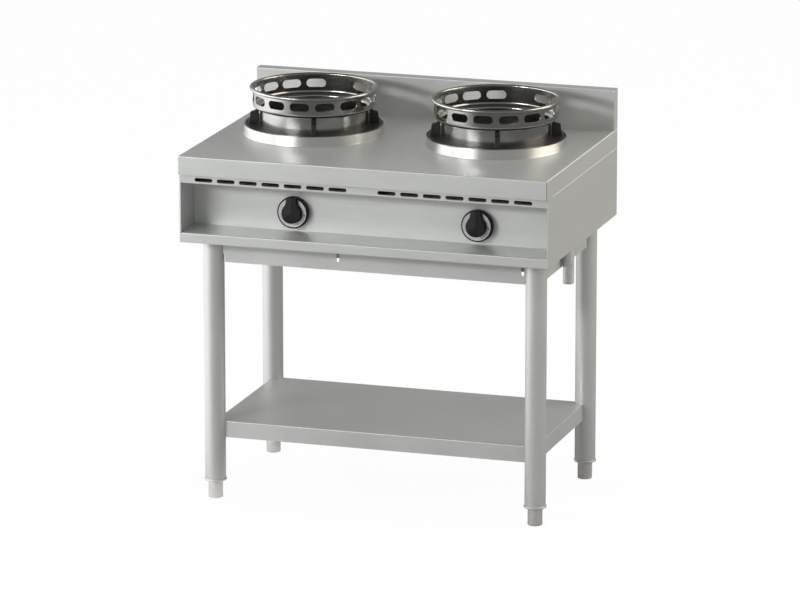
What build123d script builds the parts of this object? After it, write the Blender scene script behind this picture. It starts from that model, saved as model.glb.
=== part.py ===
from build123d import *
import os
from math import copysign, cos, hypot, radians, sin, sqrt

# Free-standing gas wok range with two burners on an open stand.
# Frame: millimetres, +X to the right of the cook, +Y towards the rear, +Z up.
# The origin is on the floor, below the centre of the worktop.

# ------------------------------------------------------------------ driving dimensions
# Worktop and splashback
WIDTH = 900.0                 # worktop, side to side
DEPTH = 600.0                 # worktop, front to rear
WORK_HEIGHT = 850.0           # floor to the deck
SHEET = 1.5                   # stainless sheet of the casing, deck and stand
FOLD_RADIUS = 2.5             # outer radius of the folded edges
EDGE_DROP = 45.0              # height of the worktop's dropped edge
SPLASH_RISE = 100.0           # deck to the top of the splashback
SPLASH_DEPTH = 30.0
SPLASH_COVE = 3.0             # hollow radius where the splashback meets the deck

# Raised collars and the burner wells that hang in them
BURNER_PITCH = 452.0          # between the two burners
BURNER_BACK = 38.0            # burners behind the middle of the worktop
COLLAR_RADIUS = 167.0         # outside of the collar's wall
COLLAR_RISE = 24.5            # deck to the collar's edge
COLLAR_SWEEP = 3.0            # bend from the deck up into the collar
WELL_FIT = 0.2                # between the collar and the well's wall
WELL_SEAT_DEPTH = 14.5        # well's lip down to the seat of the pan support
WELL_SEAT = 15.3              # well's wall in to the inside of the pot below it
WELL_DEPTH = 62.0             # seat down to the pot's floor
WELL_MOUTH = 100.0            # hole in the floor round the burner
WELL_MOUTH_RISE = 12.0        # upturned edge of that hole

# Cast pan support
SUPPORT_GAP = 0.8             # round the casting, inside the well
SUPPORT_WIDTH = 45.0          # along the radius
SUPPORT_THICKNESS = 14.0
SUPPORT_TURN = 18.0           # how far the fins are turned from the front
FIN_COUNT = 4
FIN_THICKNESS = 12.0
FIN_LENGTH = 24.0             # along the radius
FIN_HEIGHT = 27.0             # at its outer side
FIN_PEAK = 8.0                # how much higher its inner side stands

# Wok ring
RING_SHEET = 1.5
BAND_INSET = 34.0             # outside of the pan support in to that of the narrow lower band
BAND_PLAY = 2.5               # between the band and the fins
CROWN_STEP = 17.5             # outside of the band out to that of the slotted crown
SHOULDER_RISE = 39.7          # foot of the ring up to the underside of the shoulder
SHOULDER_RADIUS = 8.0
CROWN_RISE = 86.2             # foot of the ring up to the middle of the rolled rim
RIM_RADIUS = 4.3              # of the rolled rim's bead
SLOT_PLACES = 15              # evenly round the crown
SLOT_BLANK = 172.5            # the place without a slot, in degrees from the front
SLOT_LENGTH = 47.0
SLOT_HEIGHT = 20.0
SLOT_RISE = 65.5              # foot of the ring up to the middle of the slots

# Casing
BODY_HEIGHT = 210.0           # deck to the underside of the casing
FACE_SETBACK = 10.0           # casing's face behind the worktop's front edge
STRIP_SHOW = 21.5             # vent strip below the worktop's edge
LIP_HEIGHT = 24.0
RECESS_DEPTH = 100.0
FLANGE = 15.0                 # inner flanges of the casing's sheets
HEM = 12.0                    # folded-back front edge of the side panels
TOP_FOLD_START = 38.0         # casing's face back to the fold along their top
VENT_LENGTH = 44.0
VENT_HEIGHT = 9.0
VENT_FIRST = 60.0             # first vent from the middle of the casing
VENT_LAST = 57.0              # last vent from the side panel's hem
VENTS_A_SIDE = 7
VENT_DROP = 11.6              # middle of the vents below the worktop's edge

# Knobs and gas taps
KNOB_SHIFT = 27.0             # knob to the right of its burner
KNOB_RISE = 46.0              # knob's axis above the ledge
KNOB_TRAVEL = 4.0             # push
KNOB_GAP = 4.5                # skirt to panel at rest
SKIRT_RADIUS = 38.0
SKIRT_DEPTH = 13.0
SKIRT_WALL = 2.5
GRIP_RADIUS = 24.6
GRIP_LENGTH = 13.5
GRIP_TAPER = 6.0              # degrees
POINTER_ROOT = 20.0           # half width of the pointer bar at the knob's axis
POINTER_TIP = 12.4            # half width at the rim
POINTER_EDGE = 1.0            # pointer's end inside the skirt's rim
BEVEL = 9.0                   # degrees that the two upper bevels of the grip fall
BEVEL_TURN = 32.0             # degrees that they face away from the pointer
HUB_RADIUS = 9.0
DIAL_INNER = 25.2
DIAL_OUTER = 34.3
DIAL_THICKNESS = 1.0
DIAL_MARKS = ((98.0, 1.9), (155.0, 1.3))   # clockwise from the pointer, hole radius
SPINDLE_RADIUS = 5.0
SPINDLE_FLAT = 1.5            # depth of the flat on the spindle
SPINDLE_PLAY = 0.05
SPINDLE_IN_KNOB = 20.0
PUSH_GAP = 0.2                # between the spindle and the push rod behind it
PILOT_PORT_BACK = 12.5        # pilot port ahead of the tap's rear
PILOT_PORT_RISE = 7.0         # and above its body
SPINDLE_IN_TAP = 22.0
PANEL_HOLE = 7.0              # radius round the spindle
TAP_GAP = 3.0                 # behind the control panel
TAP_LENGTH = 58.0
TAP_RADIUS = 14.0
BONNET_RADIUS = 9.5
BONNET_LENGTH = 12.0
PUSH_ROD_RADIUS = 4.0
PUSH_ROD_LENGTH = 23.0
TAP_INLET_RADIUS = 9.0
TAP_OUTLET_RADIUS = 7.0
TAP_OUTLET_LENGTH = 8.0
TAP_PORT_SPLIT = 6.5          # outlet below and sensor port above the tap's axis

# Gas pipework
PIPE_RADIUS = 13.45           # three-quarter inch pipe
PIPE_WALL = 2.65
PIPE_BEND = 40.0
MANIFOLD_DROP = 37.5          # below the taps' axis
MANIFOLD_SET = 30.0           # behind the taps' front
MANIFOLD_TAIL = 30.0          # past the left tap
INLET_SIDE = 29.0             # inlet pipe's axis from the worktop's side
INLET_BACK = -14.0            # inlet pipe's axis from the middle, front to rear
INLET_DROP = 99.0             # below the casing
THREAD_RADIUS = 13.22         # of the inlet's pipe thread
THREAD_LENGTH = 18.0
PIPE_TURN = 12.0              # bend of the supply pipes
TUBE_DROP = 18.0              # pilot tube and sensor lead below the pilot
ELBOW_RADIUS = 17.5
ELBOW_ARM = 29.0
SOCKET_DEPTH = 15.0
CLIP_SHEET = 3.0              # clips that hold the manifold to the base pan
CLIP_WIDTH = 25.0
CLIP_FOOT = 24.0
CLIP_SHIFT = 60.0             # clip to the right of each tap
INJECTOR_PIPE_RADIUS = 4.0
PILOT_PIPE_RADIUS = 2.0
LEAD_RADIUS = 1.5

# Burner
MIX_AXIS_DROP = 113.0         # mixing tube's axis below the deck
MIX_RADIUS = 26.0
MIX_BORE = 21.0
MIX_START = 67.5              # rear of the taps to the tube's mouth
MOUTH_FLARE = 8.0
MOUTH_LENGTH = 20.0
NECK_RADIUS = 32.0
NECK_BORE = 25.0
HEAD_RADIUS = 78.0
HEAD_WALL = 5.0
HEAD_HEIGHT = 23.0            # straight wall of the head
HEAD_CONE = 23.0              # cone from the neck out to the head
HEAD_DROP = 12.0              # top of the head below the deck
CAP_HEIGHT = 24.0
CAP_SPIGOT = 6.0
CAP_PLAY = 0.4
CAP_PORTS = 24
CAP_PORT_RADIUS = 2.2
BURNER_FOOT_DROP = 34.0       # mixing tube's axis down to the foot
FOOT_PAD = 6.0
INJECTOR_REACH = 24.0         # injector boss ahead of the tube's mouth
BOSS_RADIUS = 12.0
BOSS_LENGTH = 12.0
INJECTOR_RADIUS = 6.0
INJECTOR_HEAD = 8.0
PILOT_OFFSET = 9.0            # pilot and sensor, each side of the burner's middle
PILOT_REACH = 90.0            # from the burner's axis
PILOT_RADIUS = 4.5
PILOT_RISE = 8.0              # top of the pilot above the burner's head
PILOT_BELOW = 15.0            # foot of the pilot below its lug
SENSOR_RADIUS = 2.5
LUG_THICKNESS = 4.0
BURNER_EAR = 40.0             # screws of the burner's foot, from its axis
BRACKET_SHEET = 3.0
BRACKET_WIDTH = 60.0          # front to rear
BRACKET_SPAN = 100.0          # side to side
BRACKET_FOOT = 18.0

# Stand
LEG_RADIUS = 25.0
LEG_SIDE = 53.0               # leg's axis from the worktop's side
LEG_FRONT = 99.0              # leg's axis from the worktop's front
LEG_REAR = 75.0               # leg's axis from the worktop's rear
FOOT_HEIGHT = 43.0
FOOT_RADIUS = 17.5
STUD_RADIUS = 7.95
STUD_LENGTH = 60.0
STUD_PLAY = 0.05
PLUG_FLANGE = 5.0
PLUG_RADIUS = 27.0
PLUG_LENGTH = 35.0
CAP_PLUG_LENGTH = 12.0
RAIL_HEIGHT = 60.0
RAIL_OUTSET = 8.0             # rail's face outside the legs' axis
RAIL_FLANGE = 25.0
RAIL_RETURN = 36.0            # inner return below the top flange
RAIL_SLOT_END = 31.0          # slot in the front rail from the right leg's axis
RAIL_SLOT_WIDTH = 6.5
RAIL_SLOT_HEIGHT = 22.0
RAIL_SLOT_RISE = 20.0         # slot's foot above the rail's
RAIL_NOTCH_WIDTH = 7.0
SHELF_TOP = 189.0
SHELF_EDGE = 40.0
SHELF_LIP = 12.0
SHELF_COLLAR = 3.0            # corner collars that hug the legs
STIFFENER_HEIGHT = 25.0
STIFFENER_WIDTH = 60.0
STIFFENER_SIDE_GAP = 30.0

# Fasteners
M4, M5, M6, M8, M10 = 2.0, 2.5, 3.0, 4.0, 5.0   # shank radii
SCREW_HEAD = 1.5              # flat head of the rear panel's screws

# ------------------------------------------------------------------ derived places
X_SIDE = WIDTH / 2
Y_FRONT = -DEPTH / 2
Y_REAR = DEPTH / 2
Z_DECK = WORK_HEIGHT
Z_UNDER_DECK = Z_DECK - SHEET
Z_EDGE = Z_DECK - EDGE_DROP
Z_BASE = Z_DECK - BODY_HEIGHT
Z_STRIP = Z_EDGE - STRIP_SHOW
Z_LEDGE = Z_BASE + LIP_HEIGHT
Y_FACE = Y_FRONT + FACE_SETBACK
Y_PANEL = Y_FACE + RECESS_DEPTH
X_INSIDE = X_SIDE - SHEET              # inner face of the side panels and the worktop's edge
X_HEM = X_INSIDE - SHEET               # inner face of their hems
Y_CASING = Y_REAR - SHEET              # outer face of the rear panel
Y_INSIDE = Y_CASING - SHEET
BURNERS = {"left": -BURNER_PITCH / 2, "right": BURNER_PITCH / 2}
Z_COLLAR = Z_DECK + COLLAR_RISE
Z_WELL_LIP = Z_COLLAR + SHEET
Z_SEAT = Z_WELL_LIP - WELL_SEAT_DEPTH
Z_WELL_FLOOR = Z_SEAT - WELL_DEPTH
WELL_WALL = COLLAR_RADIUS - SHEET - WELL_FIT       # outside of the well's wall
Z_SUPPORT = Z_SEAT + SUPPORT_THICKNESS             # where the wok ring stands
WELL_RADIUS = WELL_WALL - WELL_SEAT
SUPPORT_RADIUS = WELL_WALL - SHEET - SUPPORT_GAP
SUPPORT_BORE = SUPPORT_RADIUS - SUPPORT_WIDTH
BAND_RADIUS = SUPPORT_RADIUS - BAND_INSET
CROWN_RADIUS = BAND_RADIUS + CROWN_STEP
VENT_PITCH = (X_HEM - VENT_LAST - VENT_FIRST) / (VENTS_A_SIDE - 1)
Z_KNOB = Z_LEDGE + KNOB_RISE
Y_TAP = Y_PANEL + SHEET + TAP_GAP
Y_TAP_REAR = Y_TAP + TAP_LENGTH
Y_MANIFOLD = Y_TAP + MANIFOLD_SET
Z_MANIFOLD = Z_KNOB - MANIFOLD_DROP
X_INLET = X_SIDE - INLET_SIDE
Z_MIX = Z_DECK - MIX_AXIS_DROP
Z_HEAD = Z_DECK - HEAD_DROP
Y_MOUTH = Y_TAP_REAR + MIX_START
Y_BOSS = Y_MOUTH - INJECTOR_REACH
Z_FOOT = Z_MIX - BURNER_FOOT_DROP
Z_LUG = Z_HEAD - HEAD_HEIGHT
Z_PILOT = Z_LUG - PILOT_BELOW
Z_PILOT_TOP = Z_HEAD + PILOT_RISE
Y_PILOT_PORT = Y_TAP_REAR - PILOT_PORT_BACK
Z_PILOT_PORT = Z_KNOB + TAP_RADIUS + PILOT_PORT_RISE
LEGS = {
    "front_left": (-X_SIDE + LEG_SIDE, Y_FRONT + LEG_FRONT),
    "front_right": (X_SIDE - LEG_SIDE, Y_FRONT + LEG_FRONT),
    "rear_left": (-X_SIDE + LEG_SIDE, Y_REAR - LEG_REAR),
    "rear_right": (X_SIDE - LEG_SIDE, Y_REAR - LEG_REAR),
}
X_LEG = X_SIDE - LEG_SIDE
Y_LEG_FRONT = Y_FRONT + LEG_FRONT
Y_LEG_REAR = Y_REAR - LEG_REAR
Z_PLUG = FOOT_HEIGHT + PLUG_FLANGE     # lower end of the leg tubes
Z_RAIL = Z_BASE - RAIL_HEIGHT


# ------------------------------------------------------------------ shape helpers
def slab(x, y, z):
    """Box between the (low, high) pairs x, y and z."""
    corner = Pos(x[0], y[0], z[0])
    return corner * Box(x[1] - x[0], y[1] - y[0], z[1] - z[0], align=(Align.MIN,) * 3)


def rod(start, end, radius):
    """Round bar from start to end."""
    run = Vector(*end) - Vector(*start)
    upright = (Align.CENTER, Align.CENTER, Align.MIN)
    return Plane(origin=start, z_dir=run) * Cylinder(radius, run.length, align=upright)


def outline_face(corners):
    """Flat face from (x, y) or (x, y, corner radius) corners."""
    points = [corner[:2] for corner in corners]
    radii = [corner[2] if len(corner) > 2 else 0 for corner in corners]
    return make_face(FilletPolyline(*points, radius=radii, close=True))


def sheet_face(path, thickness=SHEET):
    """Section of a folded sheet that lies to the left of a path of (x, y, bend radius)."""
    points = [Vector(corner[0], corner[1]) for corner in path]
    radii = [corner[2] if len(corner) > 2 else 0 for corner in path]
    runs = [(after - before).normalized() for before, after in zip(points, points[1:])]
    far_side = []
    for number, point in enumerate(points):
        before = runs[max(number - 1, 0)]
        after = runs[min(number, len(runs) - 1)]
        turn = before.X * after.Y - before.Y * after.X
        normal = Vector(-before.Y, before.X) + Vector(-after.Y, after.X)
        shift = normal * (thickness / (1 + before.dot(after)))
        bend = radii[number]
        if bend:
            bend = max(bend - thickness, 0) if turn > 0 else bend + thickness
        far_side.append((point.X + shift.X, point.Y + shift.Y, bend))
    near_side = [(point.X, point.Y, bend) for point, bend in zip(points, radii)]
    return outline_face(near_side + far_side[::-1])


def spun(face, x, y):
    """Solid of revolution of a (radius, height) face about the upright axis at x, y."""
    return Pos(x, y, 0) * revolve(Plane.XZ * face, Axis.Z)


def folded(face, x):
    """Section drawn in (y, z), drawn out between the (low, high) pair x."""
    return extrude(Plane.YZ.offset(x[0]) * face, x[1] - x[0])


def tube(points, bends, radius):
    """Round bar along straight runs joined by arcs."""
    path = FilletPolyline(*points, radius=bends)
    section = Plane(origin=path @ 0, z_dir=path % 0) * Circle(radius)
    return sweep(section, path)


def hexagon(start, end, flats):
    """Hexagonal bar from start to end, measured across its flats."""
    run = Vector(*end) - Vector(*start)
    across = RegularPolygon(flats / 2, 6, major_radius=False)
    return extrude(Plane(origin=start, z_dir=run) * across, run.length)


def together(pieces):
    """Separate solids that share one node."""
    return Compound(children=[piece for group in pieces for piece in group.solids()])


def turned(x, y, angle, shape):
    """Shape drawn along +X at the origin, turned to an angle from the front at x, y."""
    return Pos(x, y, 0) * Rot(0, 0, angle - 90) * shape


# ------------------------------------------------------------------ worktop
def worktop():
    """Pressed deck with its dropped edge and the two raised collars."""
    outer = slab((-X_SIDE, X_SIDE), (Y_FRONT, Y_REAR), (Z_EDGE, Z_DECK))
    uprights = outer.edges().filter_by(Axis.Z).group_by(Axis.Y)[0]
    rims = outer.edges().group_by(Axis.Z)[-1].sort_by(Axis.Y)[:-1]
    outer = fillet(uprights + rims, FOLD_RADIUS)
    inner = slab((-X_INSIDE, X_INSIDE), (Y_FRONT + SHEET, Y_CASING), (Z_EDGE, Z_UNDER_DECK))
    deck = outer - inner
    reach = COLLAR_RADIUS + COLLAR_SWEEP + SHEET
    for x in BURNERS.values():
        deck -= rod((x, BURNER_BACK, Z_EDGE), (x, BURNER_BACK, Z_DECK + 1), reach)
        collar = sheet_face([
            (reach, Z_DECK),
            (COLLAR_RADIUS, Z_DECK, COLLAR_SWEEP),
            (COLLAR_RADIUS, Z_COLLAR),
        ])
        deck += spun(collar, x, BURNER_BACK)
    return deck


def splashback():
    """Folded upstand at the rear of the deck, closed at both ends, with a cove at its foot."""
    front = Y_REAR - SPLASH_DEPTH
    top = Z_DECK + SPLASH_RISE
    section = outline_face([
        (front, Z_DECK), (front, top, FOLD_RADIUS), (Y_REAR, top, FOLD_RADIUS), (Y_REAR, Z_DECK),
    ])
    upstand = folded(section, (-X_SIDE, X_SIDE))
    hollow = slab((-X_INSIDE, X_INSIDE), (front + SHEET, Y_CASING), (Z_DECK, top - SHEET))
    cove_x = (-X_SIDE + FOLD_RADIUS, X_SIDE - FOLD_RADIUS)
    cove = slab(cove_x, (front - SPLASH_COVE, front), (Z_DECK, Z_DECK + SPLASH_COVE))
    centre_y, centre_z = front - SPLASH_COVE, Z_DECK + SPLASH_COVE
    cove -= rod((-X_SIDE, centre_y, centre_z), (X_SIDE, centre_y, centre_z), SPLASH_COVE)
    return upstand - hollow + cove


# ------------------------------------------------------------------ casing
def rear_screw_places():
    """Screws of the rear panel, into the side panels' rear flanges."""
    x = X_INSIDE - FLANGE / 2
    low, high = Z_BASE + 2 * FLANGE, Z_EDGE - FLANGE
    heights = [low + (high - low) * share for share in (0, 1 / 3, 2 / 3, 1)]
    return [(side * x, z) for side in (-1, 1) for z in heights]


def rear_screw_holes():
    """Shanks that the rear panel and the side panels leave room for."""
    y = (Y_INSIDE - 2 * SHEET, Y_CASING + SHEET)
    return [rod((x, y[0], z), (x, y[1], z), M4) for x, z in rear_screw_places()]


def side_panel(side):
    """Casing side, flush with the worktop's edge, with a front hem and folds along its top and rear."""
    def across(inner, outer):
        return tuple(sorted((side * inner, side * outer)))

    wall = slab(across(X_INSIDE, X_SIDE), (Y_FACE, Y_REAR), (Z_BASE, Z_EDGE))
    fold_y = (Y_FACE + TOP_FOLD_START, Y_INSIDE - 2 * SHEET)
    corner = slab(across(X_SIDE - FOLD_RADIUS, X_SIDE), fold_y, (Z_EDGE - FOLD_RADIUS, Z_EDGE))
    middle = (side * (X_SIDE - FOLD_RADIUS), Z_EDGE - FOLD_RADIUS)
    start, end = [(middle[0], y, middle[1]) for y in fold_y]
    bend = (corner & rod(start, end, FOLD_RADIUS)) - rod(start, end, FOLD_RADIUS - SHEET)
    flange = slab(across(X_SIDE - FLANGE, X_SIDE - FOLD_RADIUS), fold_y, (Z_EDGE - SHEET, Z_EDGE))
    hem = slab(across(X_HEM, X_INSIDE), (Y_FACE, Y_FACE + HEM), (Z_BASE, Z_EDGE))
    rear_z = (Z_BASE + FLANGE + SHEET, Z_EDGE - SHEET)
    rear = slab(across(X_INSIDE - FLANGE, X_INSIDE), (Y_INSIDE - SHEET, Y_INSIDE), rear_z)
    panel = wall - corner + bend + flange + hem + rear
    for hole in rear_screw_holes():
        panel -= hole
    return panel


def rear_panel():
    """Closing sheet between the side panels."""
    panel = slab((-X_INSIDE, X_INSIDE), (Y_INSIDE, Y_CASING), (Z_BASE, Z_UNDER_DECK))
    for hole in rear_screw_holes():
        panel -= hole
    return panel


def rear_screws():
    """Flat-headed screws of the rear panel."""
    screws = []
    for x, z in rear_screw_places():
        shank = rod((x, Y_INSIDE - 2 * SHEET, z), (x, Y_CASING, z), M4)
        head = rod((x, Y_CASING, z), (x, Y_CASING + SCREW_HEAD, z), 2 * M4)
        screws.append(shank + head)
    return together(screws)


def base_pan():
    """Floor of the casing, with upturned edges and the holes for legs, brackets and pipe."""
    pan_front = Y_FACE + SHEET + FLANGE
    pan = slab((-X_INSIDE, X_INSIDE), (pan_front, Y_INSIDE), (Z_BASE, Z_BASE + SHEET))
    wall_z = (Z_BASE, Z_BASE + FLANGE)
    for side in (-1, 1):
        x = tuple(sorted((side * X_HEM, side * X_INSIDE)))
        pan += slab(x, (pan_front, Y_INSIDE - FLANGE), wall_z)
    rear_x = X_INSIDE - FLANGE - SHEET
    pan += slab((-rear_x, rear_x), (Y_INSIDE - SHEET, Y_INSIDE), wall_z)
    holes = [(x, y, M10) for x, y in LEGS.values()]
    holes += [(x, y, M5) for x, y in pan_screw_places()]
    holes.append((X_INLET, INLET_BACK, PIPE_RADIUS + SHEET))
    for x, y, radius in holes:
        pan -= rod((x, y, Z_BASE - 1), (x, y, Z_BASE + FLANGE), radius)
    return pan


def clear_of_hems(sheet):
    """Sheet between the side panels, notched at both ends for their hems."""
    for side in (-1, 1):
        x = tuple(sorted((side * X_HEM, side * X_INSIDE)))
        sheet -= slab(x, (Y_FACE, Y_FACE + HEM), (Z_BASE, Z_EDGE))
    return sheet


def front_lip():
    """Lip below the recess, its ledge and the flange behind the control panel."""
    behind = Y_PANEL + SHEET
    section = sheet_face([
        (behind, Z_LEDGE + FLANGE),
        (behind, Z_LEDGE),
        (Y_FACE, Z_LEDGE, FOLD_RADIUS),
        (Y_FACE, Z_BASE, FOLD_RADIUS),
        (Y_FACE + SHEET + FLANGE, Z_BASE),
    ])
    return clear_of_hems(folded(section, (-X_INSIDE, X_INSIDE)))


def control_panel():
    """Upright panel at the back of the recess, with a hole for each spindle."""
    section = sheet_face([
        (Y_PANEL + SHEET + FLANGE, Z_STRIP), (Y_PANEL, Z_STRIP, FOLD_RADIUS), (Y_PANEL, Z_LEDGE),
    ])
    panel = folded(section, (-X_INSIDE, X_INSIDE))
    for x in BURNERS.values():
        x += KNOB_SHIFT
        panel -= rod((x, Y_PANEL - 1, Z_KNOB), (x, Y_PANEL + FLANGE, Z_KNOB), PANEL_HOLE)
    return panel


def vent_strip():
    """Slotted strip under the worktop's edge and the ceiling of the recess."""
    section = sheet_face([
        (Y_FACE + SHEET + FLANGE, Z_UNDER_DECK),
        (Y_FACE, Z_UNDER_DECK, FOLD_RADIUS),
        (Y_FACE, Z_STRIP, FOLD_RADIUS),
        (Y_PANEL + SHEET + FLANGE, Z_STRIP),
    ])
    strip = clear_of_hems(folded(section, (-X_INSIDE, X_INSIDE)))
    slot = Plane.XZ * SlotOverall(VENT_LENGTH, VENT_HEIGHT)
    for side in (-1, 1):
        for number in range(VENTS_A_SIDE):
            x = side * (VENT_FIRST + VENT_PITCH * number)
            strip -= Pos(x, Y_FACE, Z_EDGE - VENT_DROP) * extrude(slot, 2 * SHEET, both=True)
    return strip


# ------------------------------------------------------------------ burner wells and rings
def well(x):
    """Spun pot that hangs in the collar by its lip and carries the pan support."""
    section = sheet_face([
        (WELL_MOUTH, Z_WELL_FLOOR + WELL_MOUTH_RISE),
        (WELL_MOUTH, Z_WELL_FLOOR - SHEET, 2 * SHEET),
        (WELL_RADIUS + SHEET, Z_WELL_FLOOR - SHEET, 5 * SHEET),
        (WELL_RADIUS + SHEET, Z_SEAT - SHEET, SHEET),
        (WELL_WALL, Z_SEAT - SHEET, 2 * SHEET),
        (WELL_WALL, Z_COLLAR, WELL_FIT),
        (COLLAR_RADIUS + SHEET / 3, Z_COLLAR),
    ])
    return spun(section, x, BURNER_BACK)


def pan_support(x):
    """Cast ring with upright fins that centre the wok ring."""
    outer = SUPPORT_RADIUS
    edge = SUPPORT_THICKNESS / 8
    section = outline_face([
        (SUPPORT_BORE, Z_SEAT),
        (outer, Z_SEAT, edge),
        (outer, Z_SUPPORT, edge),
        (SUPPORT_BORE, Z_SUPPORT, edge),
    ])
    casting = spun(section, x, BURNER_BACK)
    inner = BAND_RADIUS + BAND_PLAY
    root = Z_SUPPORT - SUPPORT_THICKNESS / 4
    shoulder = Z_SUPPORT + FIN_HEIGHT
    fin_face = outline_face([
        (inner, root),
        (inner + FIN_LENGTH, root),
        (inner + FIN_LENGTH * 0.85, shoulder, FIN_LENGTH / 5),
        (inner + FIN_LENGTH * 0.4, shoulder + FIN_PEAK / 4, FIN_LENGTH / 6),
        (inner + FIN_LENGTH * 0.2, shoulder + FIN_PEAK, FIN_LENGTH / 16),
        (inner, shoulder + FIN_PEAK, FIN_LENGTH / 16),
    ])
    fin = extrude(Plane.XZ * fin_face, FIN_THICKNESS / 2, both=True)
    cheeks = fin.faces().sort_by(Axis.Y)
    rims = (cheeks[0].edges() + cheeks[-1].edges()).group_by(Axis.Z)[1:]
    fin = fillet([edge for level in rims for edge in level], FIN_THICKNESS / 12)
    for number in range(FIN_COUNT):
        casting += turned(x, BURNER_BACK, SUPPORT_TURN + 360 / FIN_COUNT * number, fin)
    return casting


def wok_ring(x):
    """Polished ring with a narrow band, a slotted crown and a rolled rim."""
    crown = Z_SUPPORT + CROWN_RISE
    section = sheet_face([
        (BAND_RADIUS, Z_SUPPORT),
        (BAND_RADIUS, Z_SUPPORT + SHOULDER_RISE, SHOULDER_RADIUS / 2),
        (CROWN_RADIUS, Z_SUPPORT + SHOULDER_RISE, SHOULDER_RADIUS),
        (CROWN_RADIUS, crown - RIM_RADIUS / 4),
    ], RING_SHEET)
    ring = spun(section, x, BURNER_BACK)
    bead = Pos(CROWN_RADIUS - RING_SHEET + RIM_RADIUS, crown) * Circle(RIM_RADIUS)
    ring += spun(bead, x, BURNER_BACK)
    slot = Plane.YZ * SlotOverall(SLOT_LENGTH, SLOT_HEIGHT)
    cutter = Pos(CROWN_RADIUS, 0, Z_SUPPORT + SLOT_RISE) * extrude(slot, 4 * RING_SHEET, both=True)
    for number in range(1, SLOT_PLACES):
        ring -= turned(x, BURNER_BACK, SLOT_BLANK + 360 / SLOT_PLACES * number, cutter)
    return ring


# ------------------------------------------------------------------ knobs and taps
def on_panel(x, away, shape):
    """Shape drawn facing the cook, set on the knob's axis at x and away from the panel."""
    facing = Plane(origin=(x, Y_PANEL - away, Z_KNOB), x_dir=(1, 0, 0), z_dir=(0, -1, 0))
    return facing * shape


def pointer_face(spread):
    """Outline of the pointer bar, spread outwards all round."""
    root, tip = POINTER_ROOT + spread, POINTER_TIP + spread
    end = SKIRT_RADIUS - POINTER_EDGE + spread
    return outline_face([(-root, 0), (root, 0), (tip, end, tip / 4), (-tip, end, tip / 4)])


def spindle_face():
    """Round section with one flat, as the spindle and the knob's hub share it."""
    flat = SPINDLE_RADIUS - SPINDLE_FLAT
    width = 2 * SPINDLE_RADIUS
    return Circle(SPINDLE_RADIUS) - Pos(0, flat + width / 2) * Rectangle(width, width)


def bevelled(handle):
    """Grip with its two upper bevels, which meet in a ridge along the pointer, and rounded edges."""
    for side in (-1, 1):
        turn = radians(BEVEL_TURN)
        fall = sin(radians(BEVEL))
        outward = (side * sin(turn) * fall, cos(turn) * fall, cos(radians(BEVEL)))
        above = Plane(origin=(0, 0, GRIP_LENGTH), z_dir=outward)
        waste = above * Box(4 * SKIRT_RADIUS, 4 * SKIRT_RADIUS, GRIP_LENGTH,
                            align=(Align.CENTER, Align.CENTER, Align.MIN))
        half = tuple(sorted((0, side * 2 * SKIRT_RADIUS)))
        handle -= waste & slab(half, (-SKIRT_RADIUS, 2 * SKIRT_RADIUS), (-GRIP_LENGTH, 2 * GRIP_LENGTH))
    rims = [edge for edge in handle.edges() if on_rim(edge)]
    return fillet(rims, GRIP_LENGTH / 12)


def on_rim(edge):
    """Whether an edge runs round the top of the grip, and not between its bevels or down its side."""
    middle = edge @ 0.5
    upright = abs((edge @ 1).Z - (edge @ 0).Z) > GRIP_LENGTH / 3
    return middle.Z > GRIP_LENGTH / 3 and hypot(middle.X, middle.Y) > GRIP_RADIUS * 0.75 and not upright


def knob(x):
    """Skirted knob with a tapered grip, a pointer bar, a groove for the dial and a hub."""
    skirt = extrude(Circle(SKIRT_RADIUS), SKIRT_DEPTH)
    skirt = fillet(skirt.edges().sort_by(Axis.Z)[-1], SKIRT_WALL)
    hollow = extrude(Circle(SKIRT_RADIUS - SKIRT_WALL), SKIRT_DEPTH - 1.5 * SKIRT_WALL)
    shape = skirt - hollow + extrude(Circle(HUB_RADIUS), SKIRT_DEPTH)
    upright = Pos(0, 0, SKIRT_DEPTH)
    grip = extrude(Circle(GRIP_RADIUS), GRIP_LENGTH, taper=GRIP_TAPER)
    pointer = extrude(pointer_face(0), GRIP_LENGTH, taper=GRIP_TAPER)
    handle = bevelled(grip + pointer)
    ring = Circle(DIAL_OUTER) - Circle(DIAL_INNER)
    groove = extrude(ring - pointer_face(0), DIAL_THICKNESS)
    shape -= Pos(0, 0, SKIRT_DEPTH - DIAL_THICKNESS) * groove
    shape += upright * handle
    shape -= extrude(spindle_face(), SPINDLE_IN_KNOB)
    return on_panel(x, KNOB_GAP, shape)


def dial_ring(x):
    """Scale ring let into the skirt, open at the pointer, with its two marks."""
    face = Circle(DIAL_OUTER) - Circle(DIAL_INNER) - pointer_face(0)
    middle = (DIAL_INNER + DIAL_OUTER) / 2
    for angle, radius in DIAL_MARKS:
        turn = radians(angle)
        face -= Pos(middle * sin(turn), middle * cos(turn)) * Circle(radius)
    return on_panel(x, KNOB_GAP + SKIRT_DEPTH - DIAL_THICKNESS, extrude(face, DIAL_THICKNESS))


def spindle(x):
    """Spindle from the tap through the panel into the knob, flattened where the knob grips."""
    behind = SHEET + TAP_GAP + SPINDLE_IN_TAP
    plain = extrude(Circle(SPINDLE_RADIUS), behind)
    gripped = extrude(spindle_face(), KNOB_GAP + SPINDLE_IN_KNOB)
    return on_panel(x, -behind, plain + Pos(0, 0, behind) * gripped)


def push_rod(x):
    """Rod behind the spindle that opens the safety valve when the knob is pushed."""
    start = Y_TAP + SPINDLE_IN_TAP + PUSH_GAP
    return rod((x, start, Z_KNOB), (x, start + PUSH_ROD_LENGTH, Z_KNOB), PUSH_ROD_RADIUS)


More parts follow.
